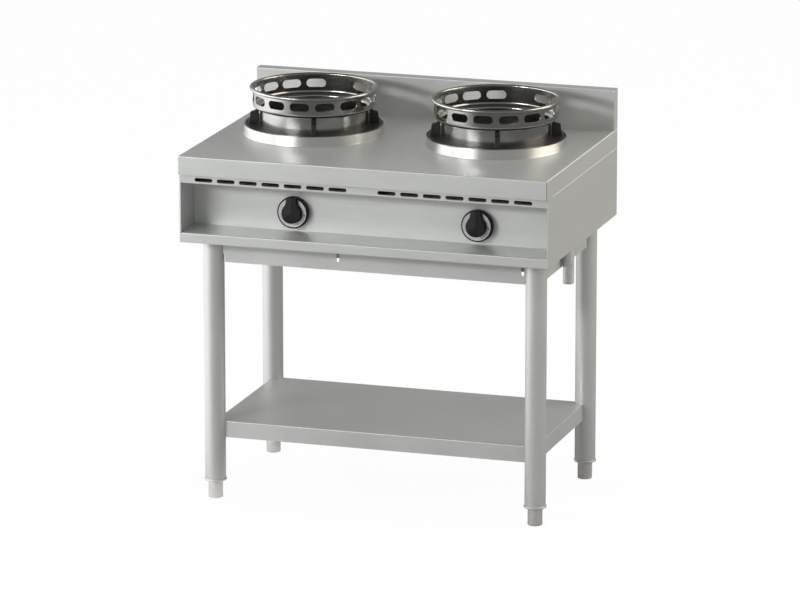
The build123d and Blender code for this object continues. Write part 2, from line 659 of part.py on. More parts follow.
def tap(x):
    """Brass tap that stands on the manifold, with its three outlets."""
    z_out, z_sensor = Z_KNOB - TAP_PORT_SPLIT, Z_KNOB + TAP_PORT_SPLIT
    port = TAP_OUTLET_RADIUS - TAP_OUTLET_RADIUS / 3
    y_body = Y_TAP + BONNET_LENGTH
    y_boss = Y_TAP_REAR + TAP_OUTLET_LENGTH
    body = rod((x, Y_TAP, Z_KNOB), (x, y_body, Z_KNOB), BONNET_RADIUS)
    body += rod((x, y_body, Z_KNOB), (x, Y_TAP_REAR, Z_KNOB), TAP_RADIUS)
    body += rod((x, Y_MANIFOLD, Z_MANIFOLD), (x, Y_MANIFOLD, Z_KNOB), TAP_INLET_RADIUS)
    body -= rod((0, Y_MANIFOLD, Z_MANIFOLD), (x + WIDTH, Y_MANIFOLD, Z_MANIFOLD), PIPE_RADIUS)
    body -= rod((-WIDTH, Y_MANIFOLD, Z_MANIFOLD), (0, Y_MANIFOLD, Z_MANIFOLD), PIPE_RADIUS)
    body += rod((x, Y_TAP_REAR, z_out), (x, y_boss, z_out), TAP_OUTLET_RADIUS)
    body += rod((x, Y_TAP_REAR, z_sensor), (x, y_boss, z_sensor), port)
    body += rod((x, Y_PILOT_PORT, Z_KNOB), (x, Y_PILOT_PORT, Z_PILOT_PORT), port)
    body -= rod((x, Y_TAP_REAR, z_out), (x, y_boss, z_out), INJECTOR_PIPE_RADIUS)
    body -= rod((x, Y_TAP_REAR, z_sensor), (x, y_boss, z_sensor), LEAD_RADIUS)
    body -= rod((x, Y_PILOT_PORT, Z_KNOB + TAP_RADIUS), (x, Y_PILOT_PORT, Z_PILOT_PORT), PILOT_PIPE_RADIUS)
    spindle_end = Y_TAP + SPINDLE_IN_TAP + KNOB_TRAVEL + PUSH_GAP
    rod_end = spindle_end + PUSH_ROD_LENGTH + PUSH_GAP
    body -= rod((x, Y_TAP, Z_KNOB), (x, spindle_end, Z_KNOB), SPINDLE_RADIUS + SPINDLE_PLAY)
    body -= rod((x, Y_TAP, Z_KNOB), (x, rod_end, Z_KNOB), PUSH_ROD_RADIUS + SPINDLE_PLAY)
    return body


# ------------------------------------------------------------------ gas pipework
def manifold_line(start_inset, end):
    """Middle line of the manifold: its left end, its bend and its end in the elbow."""
    left = BURNERS["left"] + KNOB_SHIFT - MANIFOLD_TAIL + start_inset
    return [(left, Y_MANIFOLD, Z_MANIFOLD), (X_INLET, Y_MANIFOLD, Z_MANIFOLD), (X_INLET, end, Z_MANIFOLD)]


def gas_manifold():
    """Pipe below the taps, closed at its left end, that bends back to the inlet elbow."""
    end = INLET_BACK - ELBOW_ARM + SOCKET_DEPTH
    outer = tube(manifold_line(0, end), PIPE_BEND, PIPE_RADIUS)
    return outer - tube(manifold_line(PIPE_WALL, end), PIPE_BEND, PIPE_RADIUS - PIPE_WALL)


def inlet_elbow():
    """Elbow that turns the manifold down to the inlet pipe."""
    corner = (X_INLET, INLET_BACK, Z_MANIFOLD)
    arm_end = (X_INLET, INLET_BACK - ELBOW_ARM, Z_MANIFOLD)
    drop_end = (X_INLET, INLET_BACK, Z_MANIFOLD - ELBOW_ARM)
    body = Pos(*corner) * Sphere(ELBOW_RADIUS)
    body += rod(corner, arm_end, ELBOW_RADIUS) + rod(corner, drop_end, ELBOW_RADIUS)
    reach = ELBOW_ARM - SOCKET_DEPTH
    body -= Pos(*corner) * Sphere(PIPE_RADIUS - PIPE_WALL)
    body -= rod(corner, arm_end, PIPE_RADIUS - PIPE_WALL) + rod(corner, drop_end, PIPE_RADIUS - PIPE_WALL)
    body -= rod((X_INLET, INLET_BACK - reach, Z_MANIFOLD), arm_end, PIPE_RADIUS)
    body -= rod((X_INLET, INLET_BACK, Z_MANIFOLD - reach), drop_end, PIPE_RADIUS)
    return body


def inlet_pipe():
    """Open gas inlet below the casing, threaded at its chamfered end."""
    top = Z_MANIFOLD - ELBOW_ARM + SOCKET_DEPTH
    tip = Z_BASE - INLET_DROP
    shoulder = (X_INLET, INLET_BACK, tip + THREAD_LENGTH)
    thread = rod((X_INLET, INLET_BACK, tip), shoulder, THREAD_RADIUS)
    thread = chamfer(thread.edges().sort_by(Axis.Z)[0], PIPE_WALL / 2)
    pipe = thread + rod(shoulder, (X_INLET, INLET_BACK, top), PIPE_RADIUS)
    return pipe - rod((X_INLET, INLET_BACK, tip), (X_INLET, INLET_BACK, top), PIPE_RADIUS - PIPE_WALL)


def clip_places():
    """Where the manifold's clips stand, along X."""
    return [x + KNOB_SHIFT + CLIP_SHIFT for x in BURNERS.values()]


def manifold_clips():
    """Folded clips that carry the manifold on the base pan."""
    clips = []
    for x in clip_places():
        ends = (x - CLIP_WIDTH / 2, x + CLIP_WIDTH / 2)
        y = (Y_MANIFOLD - CLIP_SHEET / 2, Y_MANIFOLD + CLIP_SHEET / 2)
        floor = Z_BASE + SHEET
        ring = [(end, Y_MANIFOLD, Z_MANIFOLD) for end in ends]
        clip = rod(*ring, PIPE_RADIUS + CLIP_SHEET) + slab(ends, y, (floor, Z_MANIFOLD))
        clip += slab(ends, (y[0], y[1] + CLIP_FOOT), (floor, floor + CLIP_SHEET))
        clips.append(clip - rod(*ring, PIPE_RADIUS))
    for number, (x, y) in enumerate(clip_screw_places()):
        clips[number] -= rod((x, y, Z_BASE), (x, y, Z_MANIFOLD), M5)
    return together(clips)


def supply_pipes():
    """Gas pipes from the taps to the injectors."""
    pipes = []
    for x in BURNERS.values():
        x_tap, z_tap = x + KNOB_SHIFT, Z_KNOB - TAP_PORT_SPLIT
        y_turn = Y_BOSS - INJECTOR_HEAD - PIPE_TURN
        pipes.append(tube([
            (x_tap, Y_TAP_REAR, z_tap),
            (x_tap, y_turn, z_tap),
            (x, y_turn, Z_MIX),
            (x, Y_BOSS - INJECTOR_HEAD / 4, Z_MIX),
        ], PIPE_TURN, INJECTOR_PIPE_RADIUS))
    return together(pipes)


def pilot_tubes():
    """Thin gas tubes from the taps to the pilot burners."""
    tubes = []
    for x in BURNERS.values():
        x_pilot, y_pilot = x - PILOT_OFFSET, BURNER_BACK - PILOT_REACH
        x_tap = x + KNOB_SHIFT
        tubes.append(tube([
            (x_pilot, y_pilot, Z_PILOT),
            (x_pilot, y_pilot, Z_PILOT - TUBE_DROP),
            (x_pilot + PILOT_OFFSET, Y_BOSS - TUBE_DROP, Z_PILOT - TUBE_DROP),
            (x_tap, Y_PILOT_PORT, Z_PILOT - 1.5 * TUBE_DROP),
            (x_tap, Y_PILOT_PORT, Z_KNOB + TAP_RADIUS),
        ], TUBE_DROP / 3, PILOT_PIPE_RADIUS))
    return together(tubes)


def thermocouples():
    """Flame sensors and the leads that hold the taps' safety valves open."""
    sensors = []
    for x in BURNERS.values():
        x_sensor, y_sensor = x + PILOT_OFFSET, BURNER_BACK - PILOT_REACH
        x_tap, z_tap = x + KNOB_SHIFT, Z_KNOB + TAP_PORT_SPLIT
        y_turn = Y_TAP_REAR + 2 * TAP_RADIUS
        lead = tube([
            (x_sensor, y_sensor, Z_PILOT),
            (x_sensor, y_sensor, Z_PILOT - TUBE_DROP),
            (x_tap, y_turn, Z_PILOT - TUBE_DROP),
            (x_tap, y_turn, z_tap),
            (x_tap, Y_TAP_REAR, z_tap),
        ], TUBE_DROP / 3, LEAD_RADIUS)
        tip = rod((x_sensor, y_sensor, Z_PILOT), (x_sensor, y_sensor, Z_PILOT_TOP), SENSOR_RADIUS)
        tip = fillet(tip.edges().sort_by(Axis.Z)[-1], SENSOR_RADIUS / 2)
        sensors.append(lead + tip)
    return together(sensors)


# ------------------------------------------------------------------ burners
def burner_body(x):
    """Cast burner: mixing tube, neck, head, foot, injector yoke and pilot lug in one."""
    cone_foot = Z_HEAD - HEAD_HEIGHT - HEAD_CONE
    skin = HEAD_WALL * 1.2
    floor = Z_FOOT + FOOT_PAD
    shell = spun(outline_face([
        (0, Z_FOOT),
        (NECK_RADIUS, Z_FOOT),
        (NECK_RADIUS, cone_foot),
        (HEAD_RADIUS, Z_LUG),
        (HEAD_RADIUS, Z_HEAD),
        (0, Z_HEAD),
    ]), x, BURNER_BACK)
    hollow = spun(outline_face([
        (0, floor),
        (NECK_BORE, floor),
        (NECK_BORE, cone_foot + skin),
        (HEAD_RADIUS - HEAD_WALL, Z_LUG + skin),
        (HEAD_RADIUS - HEAD_WALL, Z_HEAD),
        (0, Z_HEAD),
    ]), x, BURNER_BACK)
    y_flare = Y_MOUTH + MOUTH_LENGTH
    middle, mouth = (x, BURNER_BACK, Z_MIX), (x, Y_MOUTH, Z_MIX)
    flare = Plane(origin=mouth, z_dir=(0, 1, 0))
    lift = Pos(0, 0, MOUTH_LENGTH / 2)
    shell += rod(middle, mouth, MIX_RADIUS)
    shell += flare * lift * Cone(MIX_RADIUS + MOUTH_FLARE, MIX_RADIUS, MOUTH_LENGTH)
    shell += slab((x - BURNER_EAR - FOOT_PAD, x + BURNER_EAR + FOOT_PAD),
                  (BURNER_BACK - MIX_BORE, BURNER_BACK + MIX_BORE), (Z_FOOT, floor))
    lug_x = PILOT_OFFSET + PILOT_RADIUS + LUG_THICKNESS / 2
    lug_y = BURNER_BACK - PILOT_REACH - PILOT_RADIUS - LUG_THICKNESS / 2
    root = BURNER_BACK - HEAD_RADIUS + HEAD_WALL / 2
    shell += slab((x - lug_x, x + lug_x), (lug_y, root), (Z_LUG, Z_LUG + LUG_THICKNESS))
    shell -= hollow
    shell -= rod(middle, mouth, MIX_BORE)
    shell -= flare * lift * Cone(MIX_BORE + MOUTH_FLARE, MIX_BORE, MOUTH_LENGTH)
    arm = (MIX_BORE + MOUTH_FLARE, MIX_RADIUS + MOUTH_FLARE + 1)
    yoke_y = (Y_BOSS + BOSS_LENGTH / 4, Y_BOSS + BOSS_LENGTH)
    yoke_z = (Z_MIX - BOSS_LENGTH / 3, Z_MIX + BOSS_LENGTH / 3)
    shell += slab((x - arm[1], x + arm[1]), yoke_y, yoke_z)
    shell += slab((x + arm[0], x + arm[1]), (yoke_y[0], y_flare - 0.75 * MOUTH_LENGTH), yoke_z)
    shell += slab((x - arm[1], x - arm[0]), (yoke_y[0], y_flare - 0.75 * MOUTH_LENGTH), yoke_z)
    boss_end = (x, Y_BOSS + BOSS_LENGTH, Z_MIX)
    shell += rod((x, Y_BOSS, Z_MIX), boss_end, BOSS_RADIUS)
    shell -= rod((x, Y_BOSS, Z_MIX), boss_end, INJECTOR_RADIUS)
    y_pilot = BURNER_BACK - PILOT_REACH
    holes = [(x - PILOT_OFFSET, y_pilot, Z_LUG, PILOT_RADIUS)]
    holes.append((x + PILOT_OFFSET, y_pilot, Z_LUG, SENSOR_RADIUS))
    holes += [(x + side * BURNER_EAR, BURNER_BACK, Z_FOOT, M6) for side in (-1, 1)]
    for hole_x, hole_y, low, radius in holes:
        shell -= rod((hole_x, hole_y, low), (hole_x, hole_y, low + FOOT_PAD), radius)
    return shell


def burner_cap(x):
    """Ported cap that stands in the head by its spigot."""
    bore = HEAD_RADIUS - HEAD_WALL - CAP_PLAY
    wall, top, shoulder = HEAD_WALL, Z_HEAD + CAP_HEIGHT, Z_HEAD + CAP_HEIGHT / 2
    cap = spun(outline_face([
        (bore - wall, Z_HEAD - CAP_SPIGOT),
        (bore, Z_HEAD - CAP_SPIGOT),
        (bore, Z_HEAD),
        (HEAD_RADIUS, Z_HEAD),
        (HEAD_RADIUS, shoulder, wall),
        (HEAD_RADIUS / 2, top, 2 * wall),
        (0, top),
        (0, top - wall),
        (HEAD_RADIUS / 2 - wall / 3, top - wall, wall),
        (bore - wall, shoulder - wall / 2, wall / 2),
    ]), x, BURNER_BACK)
    port = rod((bore - 3 * wall, 0, Z_HEAD + CAP_HEIGHT / 4),
               (HEAD_RADIUS + wall, 0, Z_HEAD + CAP_HEIGHT / 4), CAP_PORT_RADIUS)
    for number in range(CAP_PORTS):
        cap -= turned(x, BURNER_BACK, 360 / CAP_PORTS * number, port)
    return cap


def burner_brackets():
    """Bridges that carry the burners above the base pan."""
    brackets = []
    for x in BURNERS.values():
        half = BRACKET_SPAN / 2
        floor = Z_BASE + SHEET
        section = sheet_face([
            (x - half - BRACKET_FOOT, floor),
            (x - half, floor, BRACKET_SHEET / 2),
            (x - half, Z_FOOT - BRACKET_SHEET, BRACKET_SHEET * 2),
            (x + half, Z_FOOT - BRACKET_SHEET, BRACKET_SHEET * 2),
            (x + half, floor, BRACKET_SHEET / 2),
            (x + half + BRACKET_FOOT, floor),
        ], BRACKET_SHEET)
        bridge = Pos(0, BURNER_BACK, 0) * extrude(Plane.XZ * section, BRACKET_WIDTH / 2, both=True)
        for ear in (x - BURNER_EAR, x + BURNER_EAR):
            bridge -= rod((ear, BURNER_BACK, Z_FOOT - 2 * BRACKET_SHEET), (ear, BURNER_BACK, Z_FOOT), M6)
        for foot_x, foot_y in bracket_screw_places(x):
            bridge -= rod((foot_x, foot_y, floor), (foot_x, foot_y, floor + BRACKET_SHEET), M5)
        brackets.append(bridge)
    return together(brackets)


def bracket_screw_places(x):
    """Screws of one burner bracket's feet."""
    away = BRACKET_SPAN / 2 + BRACKET_FOOT * 0.55
    along = BRACKET_WIDTH * 0.3
    return [(x + side * away, BURNER_BACK + end * along) for side in (-1, 1) for end in (-1, 1)]


def clip_screw_places():
    """Screws of the manifold's clips."""
    y = Y_MANIFOLD + CLIP_SHEET / 2 + CLIP_FOOT / 2
    return [(x, y) for x in clip_places()]


def pan_screw_places():
    """All screws that stand in the base pan."""
    places = clip_screw_places()
    for x in BURNERS.values():
        places += bracket_screw_places(x)
    return places


def pan_screws():
    """Screws of the burner brackets and of the manifold's clips."""
    floor = Z_BASE + SHEET
    screws = []
    for x, y in pan_screw_places():
        top = floor + BRACKET_SHEET
        shank = rod((x, y, Z_BASE - M5), (x, y, top), M5)
        screws.append(shank + rod((x, y, top), (x, y, top + M5), 2 * M5))
    return together(screws)


def burner_screws():
    """Screws through the burners' feet into their brackets."""
    screws = []
    for x in BURNERS.values():
        for ear in (x - BURNER_EAR, x + BURNER_EAR):
            seat = Z_FOOT + FOOT_PAD
            shank = rod((ear, BURNER_BACK, Z_FOOT - 3 * BRACKET_SHEET), (ear, BURNER_BACK, seat), M6)
            head = hexagon((ear, BURNER_BACK, seat), (ear, BURNER_BACK, seat + 1.5 * M6), 3.3 * M6)
            screws.append(shank + head)
    return together(screws)


def injectors():
    """Brass injectors screwed into the burners' yokes."""
    pieces = []
    for x in BURNERS.values():
        head = (x, Y_BOSS - INJECTOR_HEAD, Z_MIX)
        seat = (x, Y_BOSS, Z_MIX)
        shank = (x, Y_BOSS + BOSS_LENGTH, Z_MIX)
        tip = (x, Y_BOSS + BOSS_LENGTH + INJECTOR_HEAD, Z_MIX)
        piece = hexagon(head, seat, 2.4 * INJECTOR_RADIUS)
        piece += rod(seat, shank, INJECTOR_RADIUS) + rod(shank, tip, INJECTOR_PIPE_RADIUS)
        socket_end = (x, Y_BOSS - INJECTOR_HEAD / 4, Z_MIX)
        piece -= rod(head, socket_end, INJECTOR_PIPE_RADIUS)
        piece -= rod(socket_end, tip, INJECTOR_RADIUS / 5)
        pieces.append(piece)
    return together(pieces)


def pilot_burners():
    """Small pilot burners in the lugs of the burner heads."""
    pieces = []
    for x in BURNERS.values():
        x_pilot, y_pilot = x - PILOT_OFFSET, BURNER_BACK - PILOT_REACH
        foot, top = (x_pilot, y_pilot, Z_PILOT), (x_pilot, y_pilot, Z_PILOT_TOP)
        tube_end = (x_pilot, y_pilot, Z_PILOT + PILOT_RADIUS)
        jet_foot = (x_pilot, y_pilot, Z_PILOT_TOP - PILOT_RADIUS)
        piece = rod(foot, top, PILOT_RADIUS) - rod(jet_foot, top, PILOT_RADIUS / 2)
        pieces.append(piece - rod(foot, tube_end, PILOT_PIPE_RADIUS))
    return together(pieces)


# ------------------------------------------------------------------ stand
def shelf_bolt_lines():
    """Inner end, leg wall and head seat of each shelf bolt, aimed at its leg's axis."""
    lines = []
    z = SHELF_TOP - SHELF_EDGE / 2
    for x, y in LEGS.values():
        way = Vector(-x, (Y_LEG_FRONT + Y_LEG_REAR) / 2 - y)
        way = Vector(copysign(1, way.X), copysign(1, way.Y)).normalized()
        centre = Vector(x, y, z)
        reach = LEG_RADIUS + SHELF_COLLAR
        lines.append((centre + way * (LEG_RADIUS * 0.6), centre + way * reach, way))
    return lines


def leg(x, y):
    """Tubular leg from its foot plug to the casing."""
    low, high = (x, y, Z_PLUG), (x, y, Z_BASE)
    post = rod(low, high, LEG_RADIUS) - rod(low, high, LEG_RADIUS - SHEET)
    for start, seat, way in shelf_bolt_lines():
        if hypot(start.X - x, start.Y - y) < LEG_RADIUS:
            post -= rod(start, seat, M8)
    return post


def leg_plugs():
    """Plugs in the lower ends of the legs, bored for the levelling feet."""
    plugs = []
    for x, y in LEGS.values():
        plug = rod((x, y, FOOT_HEIGHT), (x, y, Z_PLUG), PLUG_RADIUS)
        plug = fillet(plug.edges().filter_by(GeomType.CIRCLE), PLUG_FLANGE / 3)
        plug += rod((x, y, Z_PLUG), (x, y, Z_PLUG + PLUG_LENGTH), LEG_RADIUS - SHEET)
        bore = STUD_RADIUS + STUD_PLAY
        plugs.append(plug - rod((x, y, FOOT_HEIGHT), (x, y, Z_PLUG + PLUG_LENGTH), bore))
    return together(plugs)


def leg_caps():
    """Threaded caps in the upper ends of the legs."""
    caps = []
    for x, y in LEGS.values():
        low, high = (x, y, Z_BASE - CAP_PLUG_LENGTH), (x, y, Z_BASE)
        caps.append(rod(low, high, LEG_RADIUS - SHEET) - rod(low, high, M10))
    return together(caps)


def leg_bolts():
    """Bolts through the base pan into the legs' caps."""
    bolts = []
    for x, y in LEGS.values():
        seat = Z_BASE + SHEET
        shank = rod((x, y, Z_BASE - 2 * CAP_PLUG_LENGTH), (x, y, seat), M10)
        bolts.append(shank + hexagon((x, y, seat), (x, y, seat + 1.28 * M10), 3.4 * M10))
    return together(bolts)


def foot(x, y):
    """Levelling foot with its stud."""
    pad = rod((x, y, 0), (x, y, FOOT_HEIGHT), FOOT_RADIUS)
    pad = fillet(pad.edges().sort_by(Axis.Z)[0], FOOT_RADIUS / 8)
    stud = rod((x, y, FOOT_HEIGHT), (x, y, FOOT_HEIGHT + STUD_LENGTH), STUD_RADIUS)
    return pad + chamfer(stud.edges().sort_by(Axis.Z)[-1], STUD_RADIUS / 8)


def rail_face():
    """Section of a rail: its face at zero, its inner side towards positive."""
    return sheet_face([
        (RAIL_FLANGE, Z_BASE - RAIL_RETURN),
        (RAIL_FLANGE, Z_BASE, FOLD_RADIUS),
        (0, Z_BASE, FOLD_RADIUS),
        (0, Z_RAIL),
    ])


def coped(rail):
    """Rail with its ends cut to the legs."""
    for x, y in LEGS.values():
        rail -= rod((x, y, Z_RAIL), (x, y, Z_BASE), LEG_RADIUS)
    return rail


def long_rail(y_face, inward):
    """Front or rear rail; inward is 1 when its inner side faces the rear."""
    section = extrude(Plane.YZ * rail_face(), X_LEG, both=True)
    if inward < 0:
        section = mirror(section, Plane.XZ)
    return coped(Pos(0, y_face, 0) * section)


def front_rail():
    """Front rail with a slot beside each burner and a notch at its left end."""
    rail = long_rail(Y_LEG_FRONT - RAIL_OUTSET, 1)
    slot = Plane.XZ * Rot(0, 0, 90) * SlotOverall(RAIL_SLOT_HEIGHT, RAIL_SLOT_WIDTH)
    y = Y_LEG_FRONT - RAIL_OUTSET
    z = Z_RAIL + RAIL_SLOT_RISE + RAIL_SLOT_HEIGHT / 2
    for x in (X_LEG - RAIL_SLOT_END, X_LEG - RAIL_SLOT_END - BURNER_PITCH):
        rail -= Pos(x, y, z) * extrude(slot, 2 * SHEET, both=True)
    start = -X_LEG + sqrt(LEG_RADIUS ** 2 - RAIL_OUTSET ** 2)
    corner = (start - 1, start + RAIL_NOTCH_WIDTH)
    return rail - slab(corner, (y - 1, y + 2 * SHEET), (Z_RAIL, Z_RAIL + RAIL_SLOT_RISE))


def side_rail(side):
    """Side rail between a front and a rear leg."""
    run = (Y_LEG_REAR - Y_LEG_FRONT) / 2
    section = extrude(Plane.XZ * rail_face(), run, both=True)
    if side > 0:
        section = mirror(section, Plane.YZ)
    return coped(Pos(side * (X_LEG + RAIL_OUTSET), Y_LEG_FRONT + run, 0) * section)


def shelf():
    """Folded tray between the legs, with corner collars that hug them."""
    low = SHELF_TOP - SHELF_EDGE
    tray = slab((-X_LEG, X_LEG), (Y_LEG_FRONT, Y_LEG_REAR), (low, SHELF_TOP))
    tray = fillet(tray.edges().group_by(Axis.Z)[-1], FOLD_RADIUS)
    x, y = X_LEG - SHEET, (Y_LEG_FRONT + SHEET, Y_LEG_REAR - SHEET)
    tray -= slab((-x, x), y, (low + SHEET, SHELF_TOP - SHEET))
    x, y = x - SHELF_LIP, (y[0] + SHELF_LIP, y[1] - SHELF_LIP)
    tray -= slab((-x, x), y, (low, low + SHEET))
    reach = LEG_RADIUS + SHELF_COLLAR
    room = slab((-X_LEG, X_LEG), (Y_LEG_FRONT, Y_LEG_REAR), (low, SHELF_TOP - SHEET / 2))
    for leg_x, leg_y in LEGS.values():
        tray += rod((leg_x, leg_y, low), (leg_x, leg_y, SHELF_TOP), reach) & room
    for leg_x, leg_y in LEGS.values():
        tray -= rod((leg_x, leg_y, low), (leg_x, leg_y, SHELF_TOP), LEG_RADIUS)
    for start, seat, way in shelf_bolt_lines():
        tray -= rod(start, seat, M8)
    return tray


def shelf_stiffener():
    """Channel below the shelf, along its middle."""
    y = (Y_LEG_FRONT + Y_LEG_REAR) / 2
    half = STIFFENER_WIDTH / 2
    high, low = SHELF_TOP - SHEET, SHELF_TOP - SHEET - STIFFENER_HEIGHT
    section = sheet_face([
        (y - half, high - SHEET),
        (y - half / 2, high - SHEET, SHEET),
        (y - half / 2, low, 2 * SHEET),
        (y + half / 2, low, 2 * SHEET),
        (y + half / 2, high - SHEET, SHEET),
        (y + half, high - SHEET),
    ])
    return folded(section, (-X_LEG + STIFFENER_SIDE_GAP, X_LEG - STIFFENER_SIDE_GAP))


def shelf_bolts():
    """Bolts that hold the shelf's collars to the legs."""
    bolts = []
    for start, seat, way in shelf_bolt_lines():
        shank = rod(start, seat + way * (M8 / 4), M8)
        bolts.append(shank + hexagon(seat, seat + way * (1.3 * M8), 3.25 * M8))
    return together(bolts)


# ------------------------------------------------------------------ all nodes
nodes = {
    "worktop": worktop(),
    "splashback": splashback(),
    "side_panel_left": side_panel(-1),
    "side_panel_right": side_panel(1),
    "rear_panel": rear_panel(),
    "rear_screws": rear_screws(),
    "base_pan": base_pan(),
    "pan_screws": pan_screws(),
    "front_lip": front_lip(),
    "control_panel": control_panel(),
    "vent_strip": vent_strip(),
    "gas_manifold": gas_manifold(),
    "manifold_clips": manifold_clips(),
    "inlet_elbow": inlet_elbow(),
    "inlet_pipe": inlet_pipe(),
    "supply_pipes": supply_pipes(),
    "pilot_tubes": pilot_tubes(),
    "thermocouples": thermocouples(),
    "injectors": injectors(),
    "pilot_burners": pilot_burners(),
    "burner_brackets": burner_brackets(),
    "burner_screws": burner_screws(),
    "leg_plugs": leg_plugs(),
    "leg_caps": leg_caps(),
    "leg_bolts": leg_bolts(),
    "front_rail": front_rail(),
    "rear_rail": long_rail(Y_LEG_REAR + RAIL_OUTSET, -1),
    "side_rail_left": side_rail(-1),
    "side_rail_right": side_rail(1),
    "shelf": shelf(),
    "shelf_stiffener": shelf_stiffener(),
    "shelf_bolts": shelf_bolts(),
}
for name, (leg_x, leg_y) in LEGS.items():
    nodes["leg_" + name] = leg(leg_x, leg_y)
    nodes["foot_" + name] = foot(leg_x, leg_y)
for name, burner_x in BURNERS.items():
    knob_x = burner_x + KNOB_SHIFT
    nodes["knob_" + name] = knob(knob_x)
    nodes["dial_ring_" + name] = dial_ring(knob_x)
    nodes["spindle_" + name] = spindle(knob_x)
    nodes["push_rod_" + name] = push_rod(knob_x)
    nodes["tap_" + name] = tap(knob_x)
    nodes["burner_body_" + name] = burner_body(burner_x)
    nodes["burner_cap_" + name] = burner_cap(burner_x)
    nodes["well_" + name] = well(burner_x)
    nodes["pan_support_" + name] = pan_support(burner_x)
    nodes["wok_ring_" + name] = wok_ring(burner_x)

os.makedirs("parts", exist_ok=True)
for name, shape in nodes.items():
    export_step(shape, "parts/" + name + ".step")
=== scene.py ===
"""Dressed model of a two-burner gas wok range on a tube stand with an undershelf.

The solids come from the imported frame. This script gives each of them the finish of the real piece, turns
the levelling feet with their threads, lays the welds of the stand, and sets up the studio and the camera.
All sizes in the classes are in millimetres, and Blender works in metres.
"""
import logging
import math
from dataclasses import dataclass
from enum import Enum

import bmesh
import bpy
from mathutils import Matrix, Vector


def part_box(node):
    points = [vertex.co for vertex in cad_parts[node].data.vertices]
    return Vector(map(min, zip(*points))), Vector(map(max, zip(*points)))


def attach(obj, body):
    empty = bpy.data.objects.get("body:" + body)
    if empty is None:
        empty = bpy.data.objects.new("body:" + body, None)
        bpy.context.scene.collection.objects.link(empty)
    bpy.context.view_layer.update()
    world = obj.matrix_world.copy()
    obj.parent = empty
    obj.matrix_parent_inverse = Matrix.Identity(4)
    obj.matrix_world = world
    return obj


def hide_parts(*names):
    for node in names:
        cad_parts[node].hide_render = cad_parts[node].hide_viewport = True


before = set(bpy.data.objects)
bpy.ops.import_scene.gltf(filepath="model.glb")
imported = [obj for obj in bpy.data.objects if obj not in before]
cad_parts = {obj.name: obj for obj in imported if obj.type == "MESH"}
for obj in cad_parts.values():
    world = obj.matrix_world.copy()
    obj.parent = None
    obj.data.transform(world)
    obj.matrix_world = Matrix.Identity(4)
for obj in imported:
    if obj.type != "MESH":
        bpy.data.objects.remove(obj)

logging.basicConfig(level=logging.INFO, format="%(message)s")
LOG = logging.getLogger("wok_range")

MM = 0.001
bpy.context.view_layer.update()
SIDES = ("left", "right")
CORNERS = ("front_left", "front_right", "rear_left", "rear_right")

Tree = bpy.types.NodeTree
Output = bpy.types.NodeSocket
Ring = list[bmesh.types.BMVert]


# ------------------------ helpers

def linear(code: str) -> tuple[float, float, float, float]:
    """Turn an sRGB hex colour into the linear colour that Blender's sockets take.

    Args:
        code: six hex digits after a hash sign.

    Returns:
        Red, green, blue and an alpha of 1.
    """
    shares = [int(code[i:i + 2], 16) / 255 for i in (1, 3, 5)]
    r, g, b = [s / 12.92 if s <= 0.04045 else ((s + 0.055) / 1.055) ** 2.4 for s in shares]
    return (r, g, b, 1.0)


def add_node(tree: Tree, kind: str, sockets: dict | None = None, **settings: object) -> bpy.types.Node:
    """Add one node to a tree, with its settings, socket values and links.

    Args:
        tree: the tree that gets the node.
        kind: Blender's name of the node's type, after the word ShaderNode.
        sockets: input name or number to a value, or to the output that is linked to it.
        **settings: the node's own attributes.

    Returns:
        The new node.
    """
    node = tree.nodes.new("ShaderNode" + kind)
    for name, value in settings.items():
        setattr(node, name, value)
    for key, value in (sockets or {}).items():
        if isinstance(value, Output):
            tree.links.new(value, node.inputs[key])
        else:
            node.inputs[key].default_value = value
    return node


def spread(noise: Output, low: float, high: float) -> dict:
    """Give the sockets that map a noise's usual values, from 0.3 to 0.7, to the measures low to high."""
    return {"Value": noise, "From Min": 0.3, "From Max": 0.7, "To Min": low, "To Max": high}


def blank_material(name: str) -> tuple[bpy.types.Material, Tree]:
    """Make a material with an empty node tree.

    Args:
        name: the finish's plain name.

    Returns:
        The material and its tree.
    """
    material = bpy.data.materials.new(name)
    material.use_nodes = True
    material.node_tree.nodes.clear()
    return material, material.node_tree


def dress(node_name: str, material: bpy.types.Material) -> None:
    """Give a CAD node its finish, in every slot it has.

    Args:
        node_name: the node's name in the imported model.
        material: the finish.
    """
    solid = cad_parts[node_name]
    if not solid.material_slots:
        solid.data.materials.append(material)
    for slot in solid.material_slots:
        slot.material = material
    LOG.info("dressed %s in %s", node_name, material.name)


def ring_of(mesh: bmesh.types.BMesh, middle: tuple[float, float, float], radii: list[float]) -> Ring:
    """Set a level ring of points round an upright axis.

    Args:
        mesh: the mesh that gets them.
        middle: the ring's middle, in mm.
        radii: how far each point lies from it, in mm, in even steps round the axis.

    Returns:
        The ring, or the one point that it is.
    """
    x, y, z = middle
    turns = [math.tau * n / len(radii) for n in range(len(radii))]
    return [mesh.verts.new(((x + radius * math.cos(turn)) * MM, (y + radius * math.sin(turn)) * MM, z * MM))
            for radius, turn in zip(radii, turns)]


def skin(mesh: bmesh.types.BMesh, low: Ring, high: Ring) -> None:
    """Close the wall between two rings.

    Args:
        mesh: the mesh that gets the faces.
        low: the lower ring, or a single point.
        high: the ring above it.
    """
    for n in range(len(high)):
        after = (n + 1) % len(high)
        if len(low) == 1:
            mesh.faces.new((low[0], high[after], high[n]))
        else:
            mesh.faces.new((low[n], low[after], high[after], high[n]))


